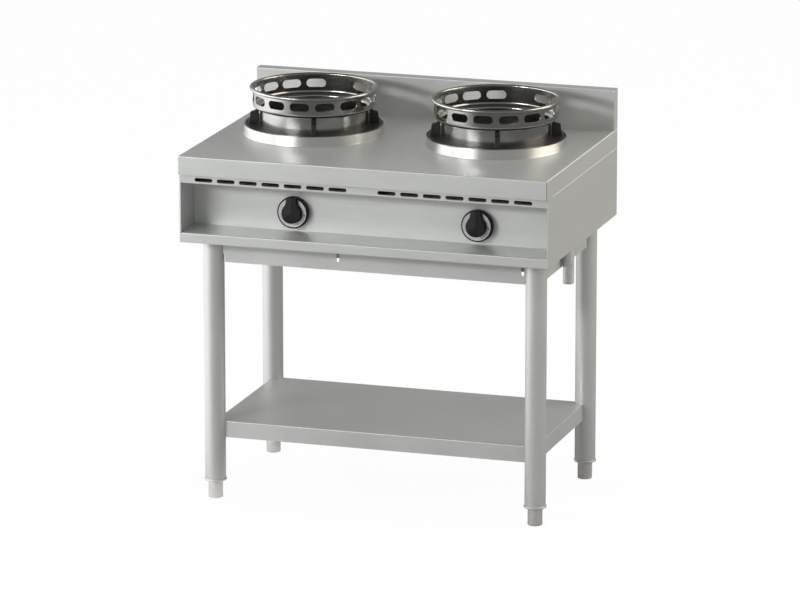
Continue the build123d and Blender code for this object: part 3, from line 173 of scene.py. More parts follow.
def new_piece(mesh: bmesh.types.BMesh, name: str, material: bpy.types.Material,
              crease: float) -> bpy.types.Object:
    """Turn a mesh into a dressed piece of the scene.

    Args:
        mesh: the mesh, which is used up.
        name: the piece's name.
        material: its finish.
        crease: angle between two faces from which their edge is sharp, in degrees.

    Returns:
        The piece.
    """
    bmesh.ops.recalc_face_normals(mesh, faces=mesh.faces)
    data = bpy.data.meshes.new(name)
    mesh.to_mesh(data)
    mesh.free()
    piece = bpy.data.objects.new(name, data)
    bpy.context.scene.collection.objects.link(piece)
    data.materials.append(material)
    data.shade_smooth()
    data.set_sharp_from_angle(angle=math.radians(crease))
    return piece


# ------------------------ patterns

class Grain(Enum):
    """Direction in which a sheet or tube was ground."""

    ALONG_X = 0
    ALONG_Y = 1
    ALONG_Z = 2


@dataclass(frozen=True)
class BurnerAxes:
    """The upright axes of the two burners, alike left and right of the middle.

    The lines of the polishing wheel run round them. Their tone is a share of the metal's tint, and their
    gloss is how far they change its roughness.
    """

    x: float = 226.0
    y: float = 38.0
    wall_radius: float = 150.0      # of the round walls, on which a line's length is measured
    line_width: float = 1.2         # real lines are 0.02 mm apart, drawn coarser to show
    line_length: float = 60.0
    line_tone: tuple[float, float] = (0.95, 1.03)
    line_gloss: float = 0.04
    line_depth: float = 0.1

    def polar(self, tree: Tree) -> tuple[Output, Output, Output]:
        """Measure a point from the nearer burner's axis.

        Args:
            tree: the material's tree.

        Returns:
            The outputs of the radius, of the angle round the axis, and of the height, in metres and radians.
        """
        place = add_node(tree, "TexCoord").outputs["Object"]
        parts = add_node(tree, "SeparateXYZ", {0: place})
        side = add_node(tree, "Math", {0: parts.outputs[0]}, operation="ABSOLUTE")
        dx = add_node(tree, "Math", {0: side.outputs[0], 1: self.x * MM}, operation="SUBTRACT")
        dy = add_node(tree, "Math", {0: parts.outputs[1], 1: self.y * MM}, operation="SUBTRACT")
        angle = add_node(tree, "Math", {0: dy.outputs[0], 1: dx.outputs[0]}, operation="ARCTAN2")
        flat = add_node(tree, "CombineXYZ", {0: dx.outputs[0], 1: dy.outputs[0]})
        radius = add_node(tree, "VectorMath", {0: flat.outputs[0]}, operation="LENGTH")
        return radius.outputs["Value"], angle.outputs[0], parts.outputs[2]

    def lathe_lines(self, tree: Tree) -> Output:
        """Make noise that runs round the axes, as a polishing wheel leaves it on a spun piece.

        Args:
            tree: the material's tree.

        Returns:
            The noise's output.
        """
        radius, angle, height = self.polar(tree)
        fine = 1 / (self.line_width * MM)
        along = add_node(tree, "Math", {0: angle, 1: self.wall_radius / self.line_length},
                         operation="MULTIPLY")
        across = add_node(tree, "Math", {0: radius, 1: fine}, operation="MULTIPLY")
        up = add_node(tree, "Math", {0: height, 1: fine}, operation="MULTIPLY")
        lines = add_node(tree, "CombineXYZ", {0: along.outputs[0], 1: across.outputs[0], 2: up.outputs[0]})
        noise = add_node(tree, "TexNoise", {
            "Vector": lines.outputs[0], "Scale": 1.0, "Detail": 2.0, "Roughness": 0.5})
        return noise.outputs["Fac"]

    def spun_shader(self, tree: Tree, tint: str, roughness: float, stretch: float) -> Output:
        """Make polished metal whose highlights stretch across the fine rings that run round it.

        Args:
            tree: the material's tree.
            tint: the metal's colour.
            roughness: middle roughness.
            stretch: share by which the highlights are stretched.

        Returns:
            The shader's output.
        """
        rings = self.lathe_lines(tree)
        shade = add_node(tree, "MapRange", spread(rings, *self.line_tone))
        colour = add_node(tree, "VectorMath", {
            0: linear(tint)[:3], "Scale": shade.outputs[0]}, operation="SCALE")
        rough = add_node(tree, "MapRange", spread(
            rings, roughness - self.line_gloss, roughness + self.line_gloss))
        bump = add_node(tree, "Bump", {"Strength": 0.08, "Distance": self.line_depth * MM, "Height": rings})
        _, angle, _ = self.polar(tree)
        place = add_node(tree, "TexCoord").outputs["Object"]
        parts = add_node(tree, "SeparateXYZ", {0: place})
        hand = add_node(tree, "Math", {0: parts.outputs[0]}, operation="SIGN")
        sine = add_node(tree, "Math", {0: angle}, operation="SINE")
        cosine = add_node(tree, "Math", {0: angle}, operation="COSINE")
        back = add_node(tree, "Math", {0: sine.outputs[0], 1: -1.0}, operation="MULTIPLY")
        along = add_node(tree, "Math", {0: cosine.outputs[0], 1: hand.outputs[0]}, operation="MULTIPLY")
        round_axis = add_node(tree, "CombineXYZ", {0: back.outputs[0], 1: along.outputs[0]})
        facing = add_node(tree, "NewGeometry")
        across = add_node(tree, "VectorMath", {
            0: facing.outputs["Normal"], 1: round_axis.outputs[0]}, operation="CROSS_PRODUCT")
        shader = add_node(tree, "BsdfPrincipled", {
            "Base Color": colour.outputs[0], "Metallic": 1.0, "Roughness": rough.outputs[0],
            "Anisotropic": stretch, "Tangent": across.outputs[0], "Normal": bump.outputs[0]})
        return shader.outputs[0]


AXES = BurnerAxes()


# ------------------------ finishes

@dataclass(frozen=True)
class SatinStainless:
    """Stainless 304 sheet or tube, ground with a belt to a satin.

    It gives the eye soft, slightly streaked reflections: bright where the surface faces a window or a
    lamp, and grey where it faces the room. The ground skin scatters much of the light, so it is not
    wholly a mirror. A tone is a share of the tint, and a gloss a change of the roughness.
    """

    name: str
    grain: Grain = Grain.ALONG_X
    tint: str = "#BBBDBB"
    metallic: float = 0.5
    roughness: float = 0.42
    scratch_width: float = 1.6      # a real scratch is 0.05 mm wide, which wouldn't show
    scratch_length: float = 90.0
    scratch_depth: float = 0.12
    scratch_tone: tuple[float, float] = (0.97, 1.02)
    scratch_gloss: float = 0.05
    cloud_size: float = 160.0       # uneven pressure of the belt and wiping marks
    cloud_tone: tuple[float, float] = (0.98, 1.02)
    cloud_gloss: float = 0.03
    fade: float = 0.3               # over which a painted highlight on a fold sets in

    def surface(self, tree: Tree) -> tuple[Output, Output, Output]:
        """Make the streaks and the clouds of a ground surface.

        Args:
            tree: the material's tree.

        Returns:
            The outputs of the colour, of the roughness and of the bumped normal.
        """
        place = add_node(tree, "TexCoord").outputs["Object"]
        scale = [1 / (self.scratch_width * MM)] * 3
        scale[self.grain.value] = 1 / (self.scratch_length * MM)
        stretch = add_node(tree, "Mapping", {"Vector": place, "Scale": scale})
        streak = add_node(tree, "TexNoise", {
            "Vector": stretch.outputs["Vector"], "Scale": 1.0, "Detail": 3.0, "Roughness": 0.6})
        cloud = add_node(tree, "TexNoise", {
            "Vector": place, "Scale": 1 / (self.cloud_size * MM), "Detail": 3.0, "Roughness": 0.55})
        tone = add_node(tree, "MapRange", spread(streak.outputs["Fac"], *self.scratch_tone))
        smear = add_node(tree, "MapRange", spread(cloud.outputs["Fac"], *self.cloud_tone))
        shade = add_node(tree, "Math", {0: tone.outputs[0], 1: smear.outputs[0]}, operation="MULTIPLY")
        colour = add_node(tree, "VectorMath", {
            0: linear(self.tint)[:3], "Scale": shade.outputs[0]}, operation="SCALE")
        gloss = add_node(tree, "MapRange", {
            "Value": streak.outputs["Fac"], "From Min": 0.25, "From Max": 0.75,
            "To Min": self.roughness - self.scratch_gloss, "To Max": self.roughness + self.scratch_gloss})
        wiped = add_node(tree, "MapRange", spread(cloud.outputs["Fac"], -self.cloud_gloss, self.cloud_gloss))
        rough = add_node(tree, "Math", {0: gloss.outputs[0], 1: wiped.outputs[0]}, operation="ADD")
        bump = add_node(tree, "Bump", {
            "Strength": 0.1, "Distance": self.scratch_depth * MM, "Height": streak.outputs["Fac"]})
        return colour.outputs[0], rough.outputs[0], bump.outputs[0]

    def sizes(self, tree: Tree) -> tuple[Output, Output, Output]:
        """Measure a point of the sheet from the middle of the range.

        Args:
            tree: the material's tree.

        Returns:
            The outputs of how far it lies to either side, how far to the front, and how high, in metres.
        """
        place = add_node(tree, "TexCoord").outputs["Object"]
        parts = add_node(tree, "SeparateXYZ", {0: place})
        across = add_node(tree, "Math", {0: parts.outputs[0]}, operation="ABSOLUTE")
        front = add_node(tree, "Math", {0: parts.outputs[1], 1: -1.0}, operation="MULTIPLY")
        return across.outputs[0], front.outputs[0], parts.outputs[2]

    def past(self, tree: Tree, value: Output, low: float, high: float) -> Output:
        """Find where a measure in metres is past a size in mm, as an output of 0 at low and 1 at high."""
        return add_node(tree, "MapRange", {
            "Value": value, "From Min": low * MM, "From Max": high * MM}).outputs[0]

    def both(self, tree: Tree, one: Output, other: Output) -> Output:
        """Find where two parts of the sheet, each from 0 to 1, overlap."""
        return add_node(tree, "Math", {0: one, 1: other}, operation="MULTIPLY").outputs[0]

    def tinted(self, tree: Tree, part: Output, colour: Output, tint: str) -> Output:
        """Give a part of the sheet, from 0 to 1, its own tint, and leave the rest its colour."""
        return add_node(tree, "Mix", {0: part, 6: colour, 7: linear(tint)}, data_type="RGBA").outputs[2]

    def material(self) -> bpy.types.Material:
        """Build the material.

        Returns:
            The satin stainless.
        """
        material, tree = blank_material(self.name)
        colour, rough, normal = self.surface(tree)
        shader = add_node(tree, "BsdfPrincipled", {
            "Base Color": colour, "Metallic": self.metallic, "Roughness": rough, "Normal": normal})
        add_node(tree, "OutputMaterial", {"Surface": shader.outputs[0]})
        return material


@dataclass(frozen=True)
class WorktopStainless(SatinStainless):
    """Satin stainless worktop whose drawn collars were polished and whose corners were welded and dressed.

    It gives the eye mirror-bright collars on a dull deck, a painted highlight as a bright line along the
    side folds, and a thin dark line down each front corner, where the two drops meet.
    """

    collar_reach: float = 172.0     # radius that the polishing wheel worked to
    collar_blend: float = 2.0       # over which the polish fades out
    collar_foot: tuple[float, float] = (0.3, 1.5)   # heights over the deck where it sets in
    polish: float = 0.44            # roughness of the collars
    polish_tint: str = "#ECEBE8"
    stretch: float = 0.9            # of their highlights
    deck: float = 850.0
    half_width: float = 450.0
    half_depth: float = 300.0
    # Painted highlight: a bright line of this width and tint along the deck's side folds.
    fold_width: float = 1.8
    painted_highlight_tint: str = "#F6F6F2"
    seam_width: float = 1.3
    seam_fade: float = 0.2
    seam_tint: str = "#4C4C4A"

    def material(self) -> bpy.types.Material:
        """Build the material.

        Returns:
            The worktop's stainless with its polished and welded places, and its painted highlights on the
            folds.
        """
        material, tree = blank_material(self.name)
        colour, rough, normal = self.surface(tree)
        radius, _, _ = AXES.polar(tree)
        across, front, height = self.sizes(tree)
        inside = self.past(tree, radius, self.collar_reach, self.collar_reach - self.collar_blend)
        raised = self.past(tree, height, *(self.deck + foot for foot in self.collar_foot))
        polished = self.both(tree, inside, raised)
        fold = self.half_width - self.fold_width
        top = self.deck - self.fold_width
        # Painted highlight along the deck's side folds.
        painted_highlight = self.both(tree, self.past(tree, across, fold, fold + self.fade),
                           self.past(tree, height, top, top + self.fade))
        corner = self.half_width - self.seam_width
        face = self.half_depth - self.seam_width
        seam = self.both(tree, self.past(tree, across, corner, corner + self.seam_fade),
                         self.past(tree, front, face, face + self.seam_fade))
        # Paint the highlight on the folds, then the dark seam.
        colour = self.tinted(tree, painted_highlight, colour, self.painted_highlight_tint)
        colour = self.tinted(tree, seam, colour, self.seam_tint)
        satin = add_node(tree, "BsdfPrincipled", {
            "Base Color": colour, "Metallic": self.metallic, "Roughness": rough, "Normal": normal})
        wall = AXES.spun_shader(tree, self.polish_tint, self.polish, self.stretch)
        mix = add_node(tree, "MixShader", {0: polished, 1: satin.outputs[0], 2: wall})
        add_node(tree, "OutputMaterial", {"Surface": mix.outputs[0]})
        return material


@dataclass(frozen=True)
class FoldedSideStainless(SatinStainless):
    """Satin stainless side sheet, with its top folded in under the worktop's edge.

    It gives the eye a thin bright line, a painted highlight along that fold, from a little behind the front
    to the rear.
    """

    half_width: float = 450.0
    top: float = 805.0
    fold_start: float = 252.0       # in front of the middle
    fold_blend: float = 3.0
    # Painted highlight: a bright line of this width and tint along the top fold.
    fold_width: float = 1.6
    painted_highlight_tint: str = "#F6F6F2"

    def material(self) -> bpy.types.Material:
        """Build the material.

        Returns:
            The side sheet's stainless with a painted highlight along its fold.
        """
        material, tree = blank_material(self.name)
        colour, rough, normal = self.surface(tree)
        across, front, height = self.sizes(tree)
        outer = self.half_width - self.fold_width
        low = self.top - self.fold_width
        # Painted highlight along the top fold, from a little behind the front to the rear.
        edge = self.both(tree, self.past(tree, across, outer, outer + self.fade),
                         self.past(tree, height, low, low + self.fade))
        folded = self.past(tree, front, self.fold_start, self.fold_start - self.fold_blend)
        painted_highlight = self.both(tree, edge, folded)
        shader = add_node(tree, "BsdfPrincipled", {
            "Base Color": self.tinted(tree, painted_highlight, colour, self.painted_highlight_tint),
            "Metallic": self.metallic, "Roughness": rough, "Normal": normal})
        add_node(tree, "OutputMaterial", {"Surface": shader.outputs[0]})
        return material


@dataclass(frozen=True)
class PolishedStainless:
    """Stainless 304 sheet, spun and polished on the lathe.

    It gives the eye bright bands that run up and down the round wall, broken by fine rings.
    """

    name: str
    tint: str = "#A9A8A4"
    roughness: float = 0.2
    stretch: float = 0.0

    def material(self) -> bpy.types.Material:
        """Build the material.

        Returns:
            The polished stainless.
        """
        material, tree = blank_material(self.name)
        shader = AXES.spun_shader(tree, self.tint, self.roughness, self.stretch)
        add_node(tree, "OutputMaterial", {"Surface": shader})
        return material


@dataclass(frozen=True)
class CastIron:
    """Grey iron cast in sand, left as it comes from the mould or blacked.

    It gives the eye a grainy, pitted skin that scatters light, with worn, smoother high spots.
    """

    name: str
    tint: str
    worn_tint: str
    metallic: float
    roughness: float
    grain: float = 1.8              # sand grains are 0.3 mm, drawn coarser to show
    depth: float = 0.4
    pit: float = 5.0
    worn_patch: float = 28.0

    def material(self) -> bpy.types.Material:
        """Build the material.

        Returns:
            The cast finish.
        """
        material, tree = blank_material(self.name)
        place = add_node(tree, "TexCoord").outputs["Object"]
        sand = add_node(tree, "TexNoise", {
            "Vector": place, "Scale": 1 / (self.grain * MM), "Detail": 4.0, "Roughness": 0.65})
        pits = add_node(tree, "TexVoronoi", {"Vector": place, "Scale": 1 / (self.pit * MM)})
        wear = add_node(tree, "TexNoise", {
            "Vector": place, "Scale": 1 / (self.worn_patch * MM), "Detail": 3.0})
        worn = add_node(tree, "MapRange", {"Value": wear.outputs["Fac"], "From Min": 0.42, "From Max": 0.68})
        colour = add_node(tree, "Mix", {
            0: worn.outputs[0], 6: linear(self.tint), 7: linear(self.worn_tint)}, data_type="RGBA")
        rough = add_node(tree, "MapRange", spread(
            sand.outputs["Fac"], self.roughness - 0.08, self.roughness + 0.1))
        height = add_node(tree, "Math", {
            0: sand.outputs["Fac"], 1: pits.outputs["Distance"]}, operation="ADD")
        bump = add_node(tree, "Bump", {
            "Strength": 0.3, "Distance": self.depth * MM, "Height": height.outputs[0]})
        shader = add_node(tree, "BsdfPrincipled", {
            "Base Color": colour.outputs[2], "Metallic": self.metallic, "Roughness": rough.outputs[0],
            "Normal": bump.outputs[0]})
        add_node(tree, "OutputMaterial", {"Surface": shader.outputs[0]})
        return material


@dataclass(frozen=True)
class TurnedMetal:
    """Brass, copper, aluminium, zinc plate or steel, with the marks of how it was drawn or turned.

    It gives the eye the metal's own colour in soft reflections, a little darker where it has tarnished.
    """

    name: str
    tint: str
    tarnish: str
    roughness: float
    mark: float = 1.4               # turning marks are 0.1 mm apart, drawn coarser to show
    mark_share: float = 12.0        # length of a mark in widths
    mark_depth: float = 0.1
    mark_gloss: float = 0.06
    grain: Grain = Grain.ALONG_Z
    tarnish_size: float = 12.0
    metallic: float = 1.0

    def material(self) -> bpy.types.Material:
        """Build the material.

        Returns:
            The metal.
        """
        material, tree = blank_material(self.name)
        place = add_node(tree, "TexCoord").outputs["Object"]
        scale = [1 / (self.mark * self.mark_share * MM)] * 3
        scale[self.grain.value] = 1 / (self.mark * MM)
        stretch = add_node(tree, "Mapping", {"Vector": place, "Scale": scale})
        marks = add_node(tree, "TexNoise", {"Vector": stretch.outputs["Vector"], "Scale": 1.0, "Detail": 2.0})
        spots = add_node(tree, "TexNoise", {
            "Vector": place, "Scale": 1 / (self.tarnish_size * MM), "Detail": 4.0, "Roughness": 0.6})
        aged = add_node(tree, "MapRange", {"Value": spots.outputs["Fac"], "From Min": 0.45, "From Max": 0.75})
        colour = add_node(tree, "Mix", {
            0: aged.outputs[0], 6: linear(self.tint), 7: linear(self.tarnish)}, data_type="RGBA")
        rough = add_node(tree, "MapRange", spread(
            marks.outputs["Fac"], self.roughness - self.mark_gloss, self.roughness + self.mark_gloss))
        bump = add_node(tree, "Bump", {
            "Strength": 0.12, "Distance": self.mark_depth * MM, "Height": marks.outputs["Fac"]})
        shader = add_node(tree, "BsdfPrincipled", {
            "Base Color": colour.outputs[2], "Metallic": self.metallic, "Roughness": rough.outputs[0],
            "Normal": bump.outputs[0]})
        add_node(tree, "OutputMaterial", {"Surface": shader.outputs[0]})
        return material


@dataclass(frozen=True)
class MouldedPhenolic:
    """Phenolic knob plastic, pressed in a hot steel mould.

    It gives the eye a deep black with a soft gloss and a faint orange-peel skin.
    """

    name: str
    tint: str = "#0F0F0F"
    tint_dust: str = "#181818"
    roughness: float = 0.5
    peel: float = 1.5               # the skin's waves are 0.5 mm, drawn coarser to show
    peel_depth: float = 0.1
    dust_patch: float = 9.0
    gloss: float = 0.22             # the matt mould skin gives back half of a clean surface's sheen

    def material(self) -> bpy.types.Material:
        """Build the material.

        Returns:
            The black moulding.
        """
        material, tree = blank_material(self.name)
        place = add_node(tree, "TexCoord").outputs["Object"]
        peel = add_node(tree, "TexNoise", {"Vector": place, "Scale": 1 / (self.peel * MM), "Detail": 2.0})
        haze = add_node(tree, "TexNoise", {
            "Vector": place, "Scale": 1 / (self.dust_patch * MM), "Detail": 3.0})
        dust = add_node(tree, "MapRange", {"Value": haze.outputs["Fac"], "From Min": 0.4, "From Max": 0.7})
        colour = add_node(tree, "Mix", {
            0: dust.outputs[0], 6: linear(self.tint), 7: linear(self.tint_dust)}, data_type="RGBA")
        rough = add_node(tree, "MapRange", spread(
            haze.outputs["Fac"], self.roughness - 0.05, self.roughness + 0.08))
        bump = add_node(tree, "Bump", {
            "Strength": 0.12, "Distance": self.peel_depth * MM, "Height": peel.outputs["Fac"]})
        shader = add_node(tree, "BsdfPrincipled", {
            "Base Color": colour.outputs[2], "Roughness": rough.outputs[0],
            "Specular IOR Level": self.gloss, "Normal": bump.outputs[0]})
        add_node(tree, "OutputMaterial", {"Surface": shader.outputs[0]})
        return material


class Finish(Enum):
    """Every finish on the range, each with the recipe it is made by."""

    WORKTOP = WorktopStainless("Stainless_304_satin_with_polished_collars")
    SHEET_X = SatinStainless("Stainless_304_sheet_ground_across")
    # Painted light: the panel's tint is paler than the other sheets', because the photograph shows it paler
    # although its recess shades it.
    # Paler tint as painted light on the panel.
    PANEL = SatinStainless("Stainless_304_panel_tinted_paler_as_painted_light", tint="#CCCECC")
    SHEET_Y = SatinStainless("Stainless_304_sheet_ground_front_to_rear", Grain.ALONG_Y)
    FOLDED_SIDE = FoldedSideStainless("Stainless_304_sheet_folded_side", Grain.ALONG_Y)
    TUBE_Z = SatinStainless("Stainless_304_tube_ground_lengthwise", Grain.ALONG_Z)
    POLISHED = PolishedStainless("Stainless_304_spun_and_polished")
    BLACKED_IRON = CastIron("Cast_iron_sand_cast_blacked", "#171716", "#2A2A28", 0.0, 0.5)
    BARE_IRON = CastIron("Cast_iron_sand_cast_bare", "#3A3937", "#4C4A46", 0.6, 0.55)
    BRASS = TurnedMetal("Brass_turned", "#C9A55C", "#8C6A38", 0.34)
    COPPER = TurnedMetal("Copper_drawn_lead", "#B87654", "#7C4B37", 0.36)
    ALUMINIUM = TurnedMetal("Aluminium_drawn_tube", "#C6C7C8", "#A3A5A6", 0.4)
    ZINC = TurnedMetal("Steel_zinc_plated", "#B4B6B4", "#8E9189", 0.38, tarnish_size=5.0)
    GALVANISED = TurnedMetal("Steel_pipe_hot_dip_galvanised", "#C6C7C4", "#AEAFAB", 0.45,
                             tarnish_size=18.0, metallic=0.5)
    STEEL = TurnedMetal("Stainless_303_turned", "#CFCECA", "#BFBEB9", 0.38, metallic=0.6)
    WELD = TurnedMetal("Stainless_arc_weld_brushed_clean", "#B6B4AF", "#96938D", 0.36, mark=0.8,
                       tarnish_size=4.0, metallic=0.85)
    PHENOLIC = MouldedPhenolic("Phenolic_black_compression_moulded")
    DIAL = TurnedMetal("Aluminium_anodised_dial", "#C2C3C1", "#B8B9B7", 0.45, grain=Grain.ALONG_X,
                       metallic=0.7)


class Workshop:
    """Makes each finish once and hands it out."""

    def __init__(self) -> None:
        """Make every finish."""
        self.stock = {finish: finish.value.material() for finish in Finish}

    def dress(self, finish: Finish, *nodes: str) -> None:
        """Give the CAD nodes of these names a finish."""
        for node in nodes:
            dress(node, self.stock[finish])


# ------------------------ sub-assemblies

@dataclass
class Casing:
    """Folded sheets round the burners, with the worktop and its splashback."""

    worktop: str = "worktop"
    across: tuple[str, ...] = ("splashback", "vent_strip", "front_lip", "rear_panel", "base_pan")
    panel: str = "control_panel"
    sides: tuple[str, ...] = ("side_panel_left", "side_panel_right")
    screws: tuple[str, ...] = ("rear_screws", "pan_screws")

    def build(self, workshop: Workshop) -> None:
        """Dress the casing.

        Args:
            workshop: where the finishes come from.
        """
        workshop.dress(Finish.WORKTOP, self.worktop)
        workshop.dress(Finish.SHEET_X, *self.across)
        workshop.dress(Finish.PANEL, self.panel)
        workshop.dress(Finish.FOLDED_SIDE, *self.sides)
        workshop.dress(Finish.ZINC, *self.screws)


@dataclass
class BurnerPlace:
    """One burner's well, pan support and wok ring, with the burner below."""

    side: str

    def build(self, workshop: Workshop) -> None:
        """Dress the burner place.

        Args:
            workshop: where the finishes come from.
        """
        workshop.dress(Finish.POLISHED, f"well_{self.side}", f"wok_ring_{self.side}")
        workshop.dress(Finish.BLACKED_IRON, f"pan_support_{self.side}")
        workshop.dress(Finish.BARE_IRON, f"burner_body_{self.side}", f"burner_cap_{self.side}")


@dataclass
class GasTrain:
    """Pipes, taps, jets and sensors inside the casing."""

    pipes: tuple[str, ...] = ("gas_manifold", "inlet_elbow", "inlet_pipe")
    brackets: tuple[str, ...] = ("manifold_clips", "burner_brackets", "burner_screws")
    small_tubes: tuple[str, ...] = ("supply_pipes", "pilot_tubes")
    sensors: tuple[str, ...] = ("thermocouples",)
    brass: tuple[str, ...] = ("injectors", "pilot_burners", "tap_left", "tap_right")
    stems: tuple[str, ...] = ("push_rod_left", "push_rod_right", "spindle_left", "spindle_right")

    def build(self, workshop: Workshop) -> None:
        """Dress the gas train.

        Args:
            workshop: where the finishes come from.
        """
        workshop.dress(Finish.GALVANISED, *self.pipes)
        workshop.dress(Finish.ZINC, *self.brackets)
        workshop.dress(Finish.ALUMINIUM, *self.small_tubes)
        workshop.dress(Finish.COPPER, *self.sensors)
        workshop.dress(Finish.BRASS, *self.brass)
        workshop.dress(Finish.STEEL, *self.stems)


@dataclass
class Control:
    """One control knob with its dial."""

    side: str

    def build(self, workshop: Workshop) -> None:
        """Dress the knob and its dial with the workshop's finishes."""
        workshop.dress(Finish.PHENOLIC, f"knob_{self.side}")
        workshop.dress(Finish.DIAL, f"dial_ring_{self.side}")


@dataclass
class LevellingFoot:
    """Turned foot with a threaded stud that screws up into the leg."""

    corner: str
    x: float
    y: float
    radius: float = 17.5
    height: float = 43.0
    edge: float = 2.2               # rounding round the sole
    edge_steps: int = 5
    chamfer: float = 0.6            # round the top of the body
    stud_crest: float = 7.95
    stud_root: float = 6.9
    stud_top: float = 103.0
    pitch: float = 2.0
    rows: int = 4                   # rings of points up one pitch
    steps: int = 64                 # points round a ring
    crease: float = 35.0

    def profile(self) -> list[tuple[float, float]]:
        """Draw half of the foot's section.

        Returns:
            Points of radius and height, from the middle of the sole out and up to the stud.
        """
        quarter = [math.radians(90 / self.edge_steps * step) for step in range(self.edge_steps + 1)]
        rounding = [(self.radius - self.edge * (1 - math.sin(t)), self.edge * (1 - math.cos(t)))
                    for t in quarter]
        grip = [(self.radius, self.height - self.chamfer), (self.radius - self.chamfer, self.height)]
        return [(0.0, 0.0)] + rounding + grip + [(self.stud_crest, self.height)]

    def turned(self, mesh: bmesh.types.BMesh) -> Ring:
        """Turn the foot's body.

        Args:
            mesh: the mesh that gets it.

        Returns:
            The ring where the stud starts.
        """
        rings = [ring_of(mesh, (self.x, self.y, height), [radius] * (self.steps if radius else 1))
                 for radius, height in self.profile()]
        for low, high in zip(rings, rings[1:]):
            skin(mesh, low, high)
        return rings[-1]

    def threaded(self, mesh: bmesh.types.BMesh, below: Ring) -> None:
        """Cut the stud's thread, as rings whose radius follows the helix.

        Args:
            mesh: the mesh that gets it.
            below: the ring that the stud starts from.
        """
        total = int((self.stud_top - self.height) / self.pitch * self.rows)
        for row in range(1, total + 1):
            height = self.height + row * self.pitch / self.rows
            fade = min(1.0, (self.stud_top - height) / self.pitch)
            turns = [(row / self.rows - n / self.steps) % 1.0 for n in range(self.steps)]
            radii = [self.stud_root + (self.stud_crest - self.stud_root) * abs(2 * turn - 1) * fade
                     for turn in turns]
            above = ring_of(mesh, (self.x, self.y, height), radii)
            skin(mesh, below, above)
            below = above
        mesh.faces.new(below)

    def build(self, workshop: Workshop) -> None:
        """Build the foot in place of its plain solid.

        Args:
            workshop: where the finish comes from.
        """
        mesh = bmesh.new()
        self.threaded(mesh, self.turned(mesh))
        piece = new_piece(mesh, f"levelling_foot_{self.corner}", workshop.stock[Finish.STEEL], self.crease)
        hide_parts(f"foot_{self.corner}")
        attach(piece, f"foot_{self.corner}")
        LOG.info("turned %s", piece.name)


@dataclass
class Weld:
    """Ripple bead of an arc weld, run upwards where a rail's web meets a leg."""

    name: str
    foot: tuple[float, float, float]
    length: float
    radius: float = 1.5
    ripple: float = 2.6             # from one pool of the weld to the next
    hollow: float = 0.86            # share of the radius that is left between two pools
    taper: float = 3.0              # length over which each end swells
    blunt: float = 0.4              # length by which each end is cut short of its point
    rows: int = 6                   # rings of points up one ripple
    sides: int = 10
    crease: float = 60.0

    def build(self, workshop: Workshop) -> None:
        """Build the bead.

        Args:
            workshop: where the finish comes from.
        """
        mesh = bmesh.new()
        x, y, z = self.foot
        total = int(self.length / self.ripple * self.rows)
        rings = []
        for row in range(total + 1):
            along = self.length * row / total
            wave = self.hollow + (1 - self.hollow) * abs(math.sin(math.pi * along / self.ripple))
            end = min(along, self.length - along) + self.blunt
            swell = math.sin(math.pi * min(1.0, end / self.taper) / 2)
            rings.append(ring_of(mesh, (x, y, z + along), [self.radius * wave * swell] * self.sides))
        for low, high in zip(rings, rings[1:]):
            skin(mesh, low, high)
        mesh.faces.new(rings[0])
        mesh.faces.new(rings[-1])
        piece = new_piece(mesh, self.name, workshop.stock[Finish.WELD], self.crease)
        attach(piece, "range")
        LOG.info("welded %s", piece.name)


@dataclass
class Stand:
    """Tube legs, welded rails, undershelf and levelling feet."""

    leg_x: float = 397.0
    leg_front: float = -201.0
    leg_rear: float = 225.0
    leg_radius: float = 25.0
    rail_bottom: float = 580.0
    weld_start: float = 3.0         # over the rail's lower edge
    weld_length: float = 54.0
    web: float = 1.5                # thickness of a rail's web
    tubes: tuple[str, ...] = tuple(f"leg_{corner}" for corner in CORNERS)
    sheets: tuple[str, ...] = ("front_rail", "rear_rail", "shelf", "shelf_stiffener")
    side_sheets: tuple[str, ...] = ("side_rail_left", "side_rail_right")
    plugs: str = "leg_plugs"
    fittings: tuple[str, ...] = ("leg_caps", "leg_bolts", "shelf_bolts")

    def welds(self) -> list[Weld]:
        """Find where the rails' webs meet the legs.

        Returns:
            A bead on each face of each end of each rail.
        """
        beads = []
        for corner in CORNERS:
            end, side = corner.split("_")
            way_x = 1 if side == "left" else -1
            way_y = 1 if end == "front" else -1
            x = -way_x * self.leg_x
            y = self.leg_front if end == "front" else self.leg_rear
            low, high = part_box(f"{end}_rail")
            face = (low[1] if end == "front" else high[1]) / MM
            for number, plane in enumerate((face, face + way_y * self.web)):
                away = math.sqrt(self.leg_radius ** 2 - (plane - y) ** 2)
                place = (x + way_x * away, plane, self.rail_bottom + self.weld_start)
                beads.append(Weld(f"weld_{corner}_across_{number}", place, self.weld_length))
            low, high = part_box(f"side_rail_{side}")
            face = (low[0] if side == "left" else high[0]) / MM
            for number, plane in enumerate((face, face + way_x * self.web)):
                away = math.sqrt(self.leg_radius ** 2 - (plane - x) ** 2)
                place = (plane, y + way_y * away, self.rail_bottom + self.weld_start)
                beads.append(Weld(f"weld_{corner}_along_{number}", place, self.weld_length))
        return beads

    def build(self, workshop: Workshop) -> None:
        """Dress the stand, weld its rails and turn its feet.

        Args:
            workshop: where the finishes come from.
        """
        workshop.dress(Finish.TUBE_Z, *self.tubes)
        workshop.dress(Finish.SHEET_X, *self.sheets)
        workshop.dress(Finish.SHEET_Y, *self.side_sheets)
        workshop.dress(Finish.STEEL, self.plugs)
        workshop.dress(Finish.ZINC, *self.fittings)
        for bead in self.welds():
            bead.build(workshop)
        for corner in CORNERS:
            x = -self.leg_x if corner.endswith("left") else self.leg_x
            y = self.leg_front if corner.startswith("front") else self.leg_rear
            LevellingFoot(corner, x, y).build(workshop)


# ------------------------ studio

@dataclass(frozen=True)
class Softbox:
    """A soft lamp on a stand, facing the object."""

    name: str
    azimuth: float                  # degrees to the right of the front
    distance: float                 # metres
    height: float                   # metres, of its middle
    size: tuple[float, float]       # metres, width and height
    power: float                    # watts
    tint: str


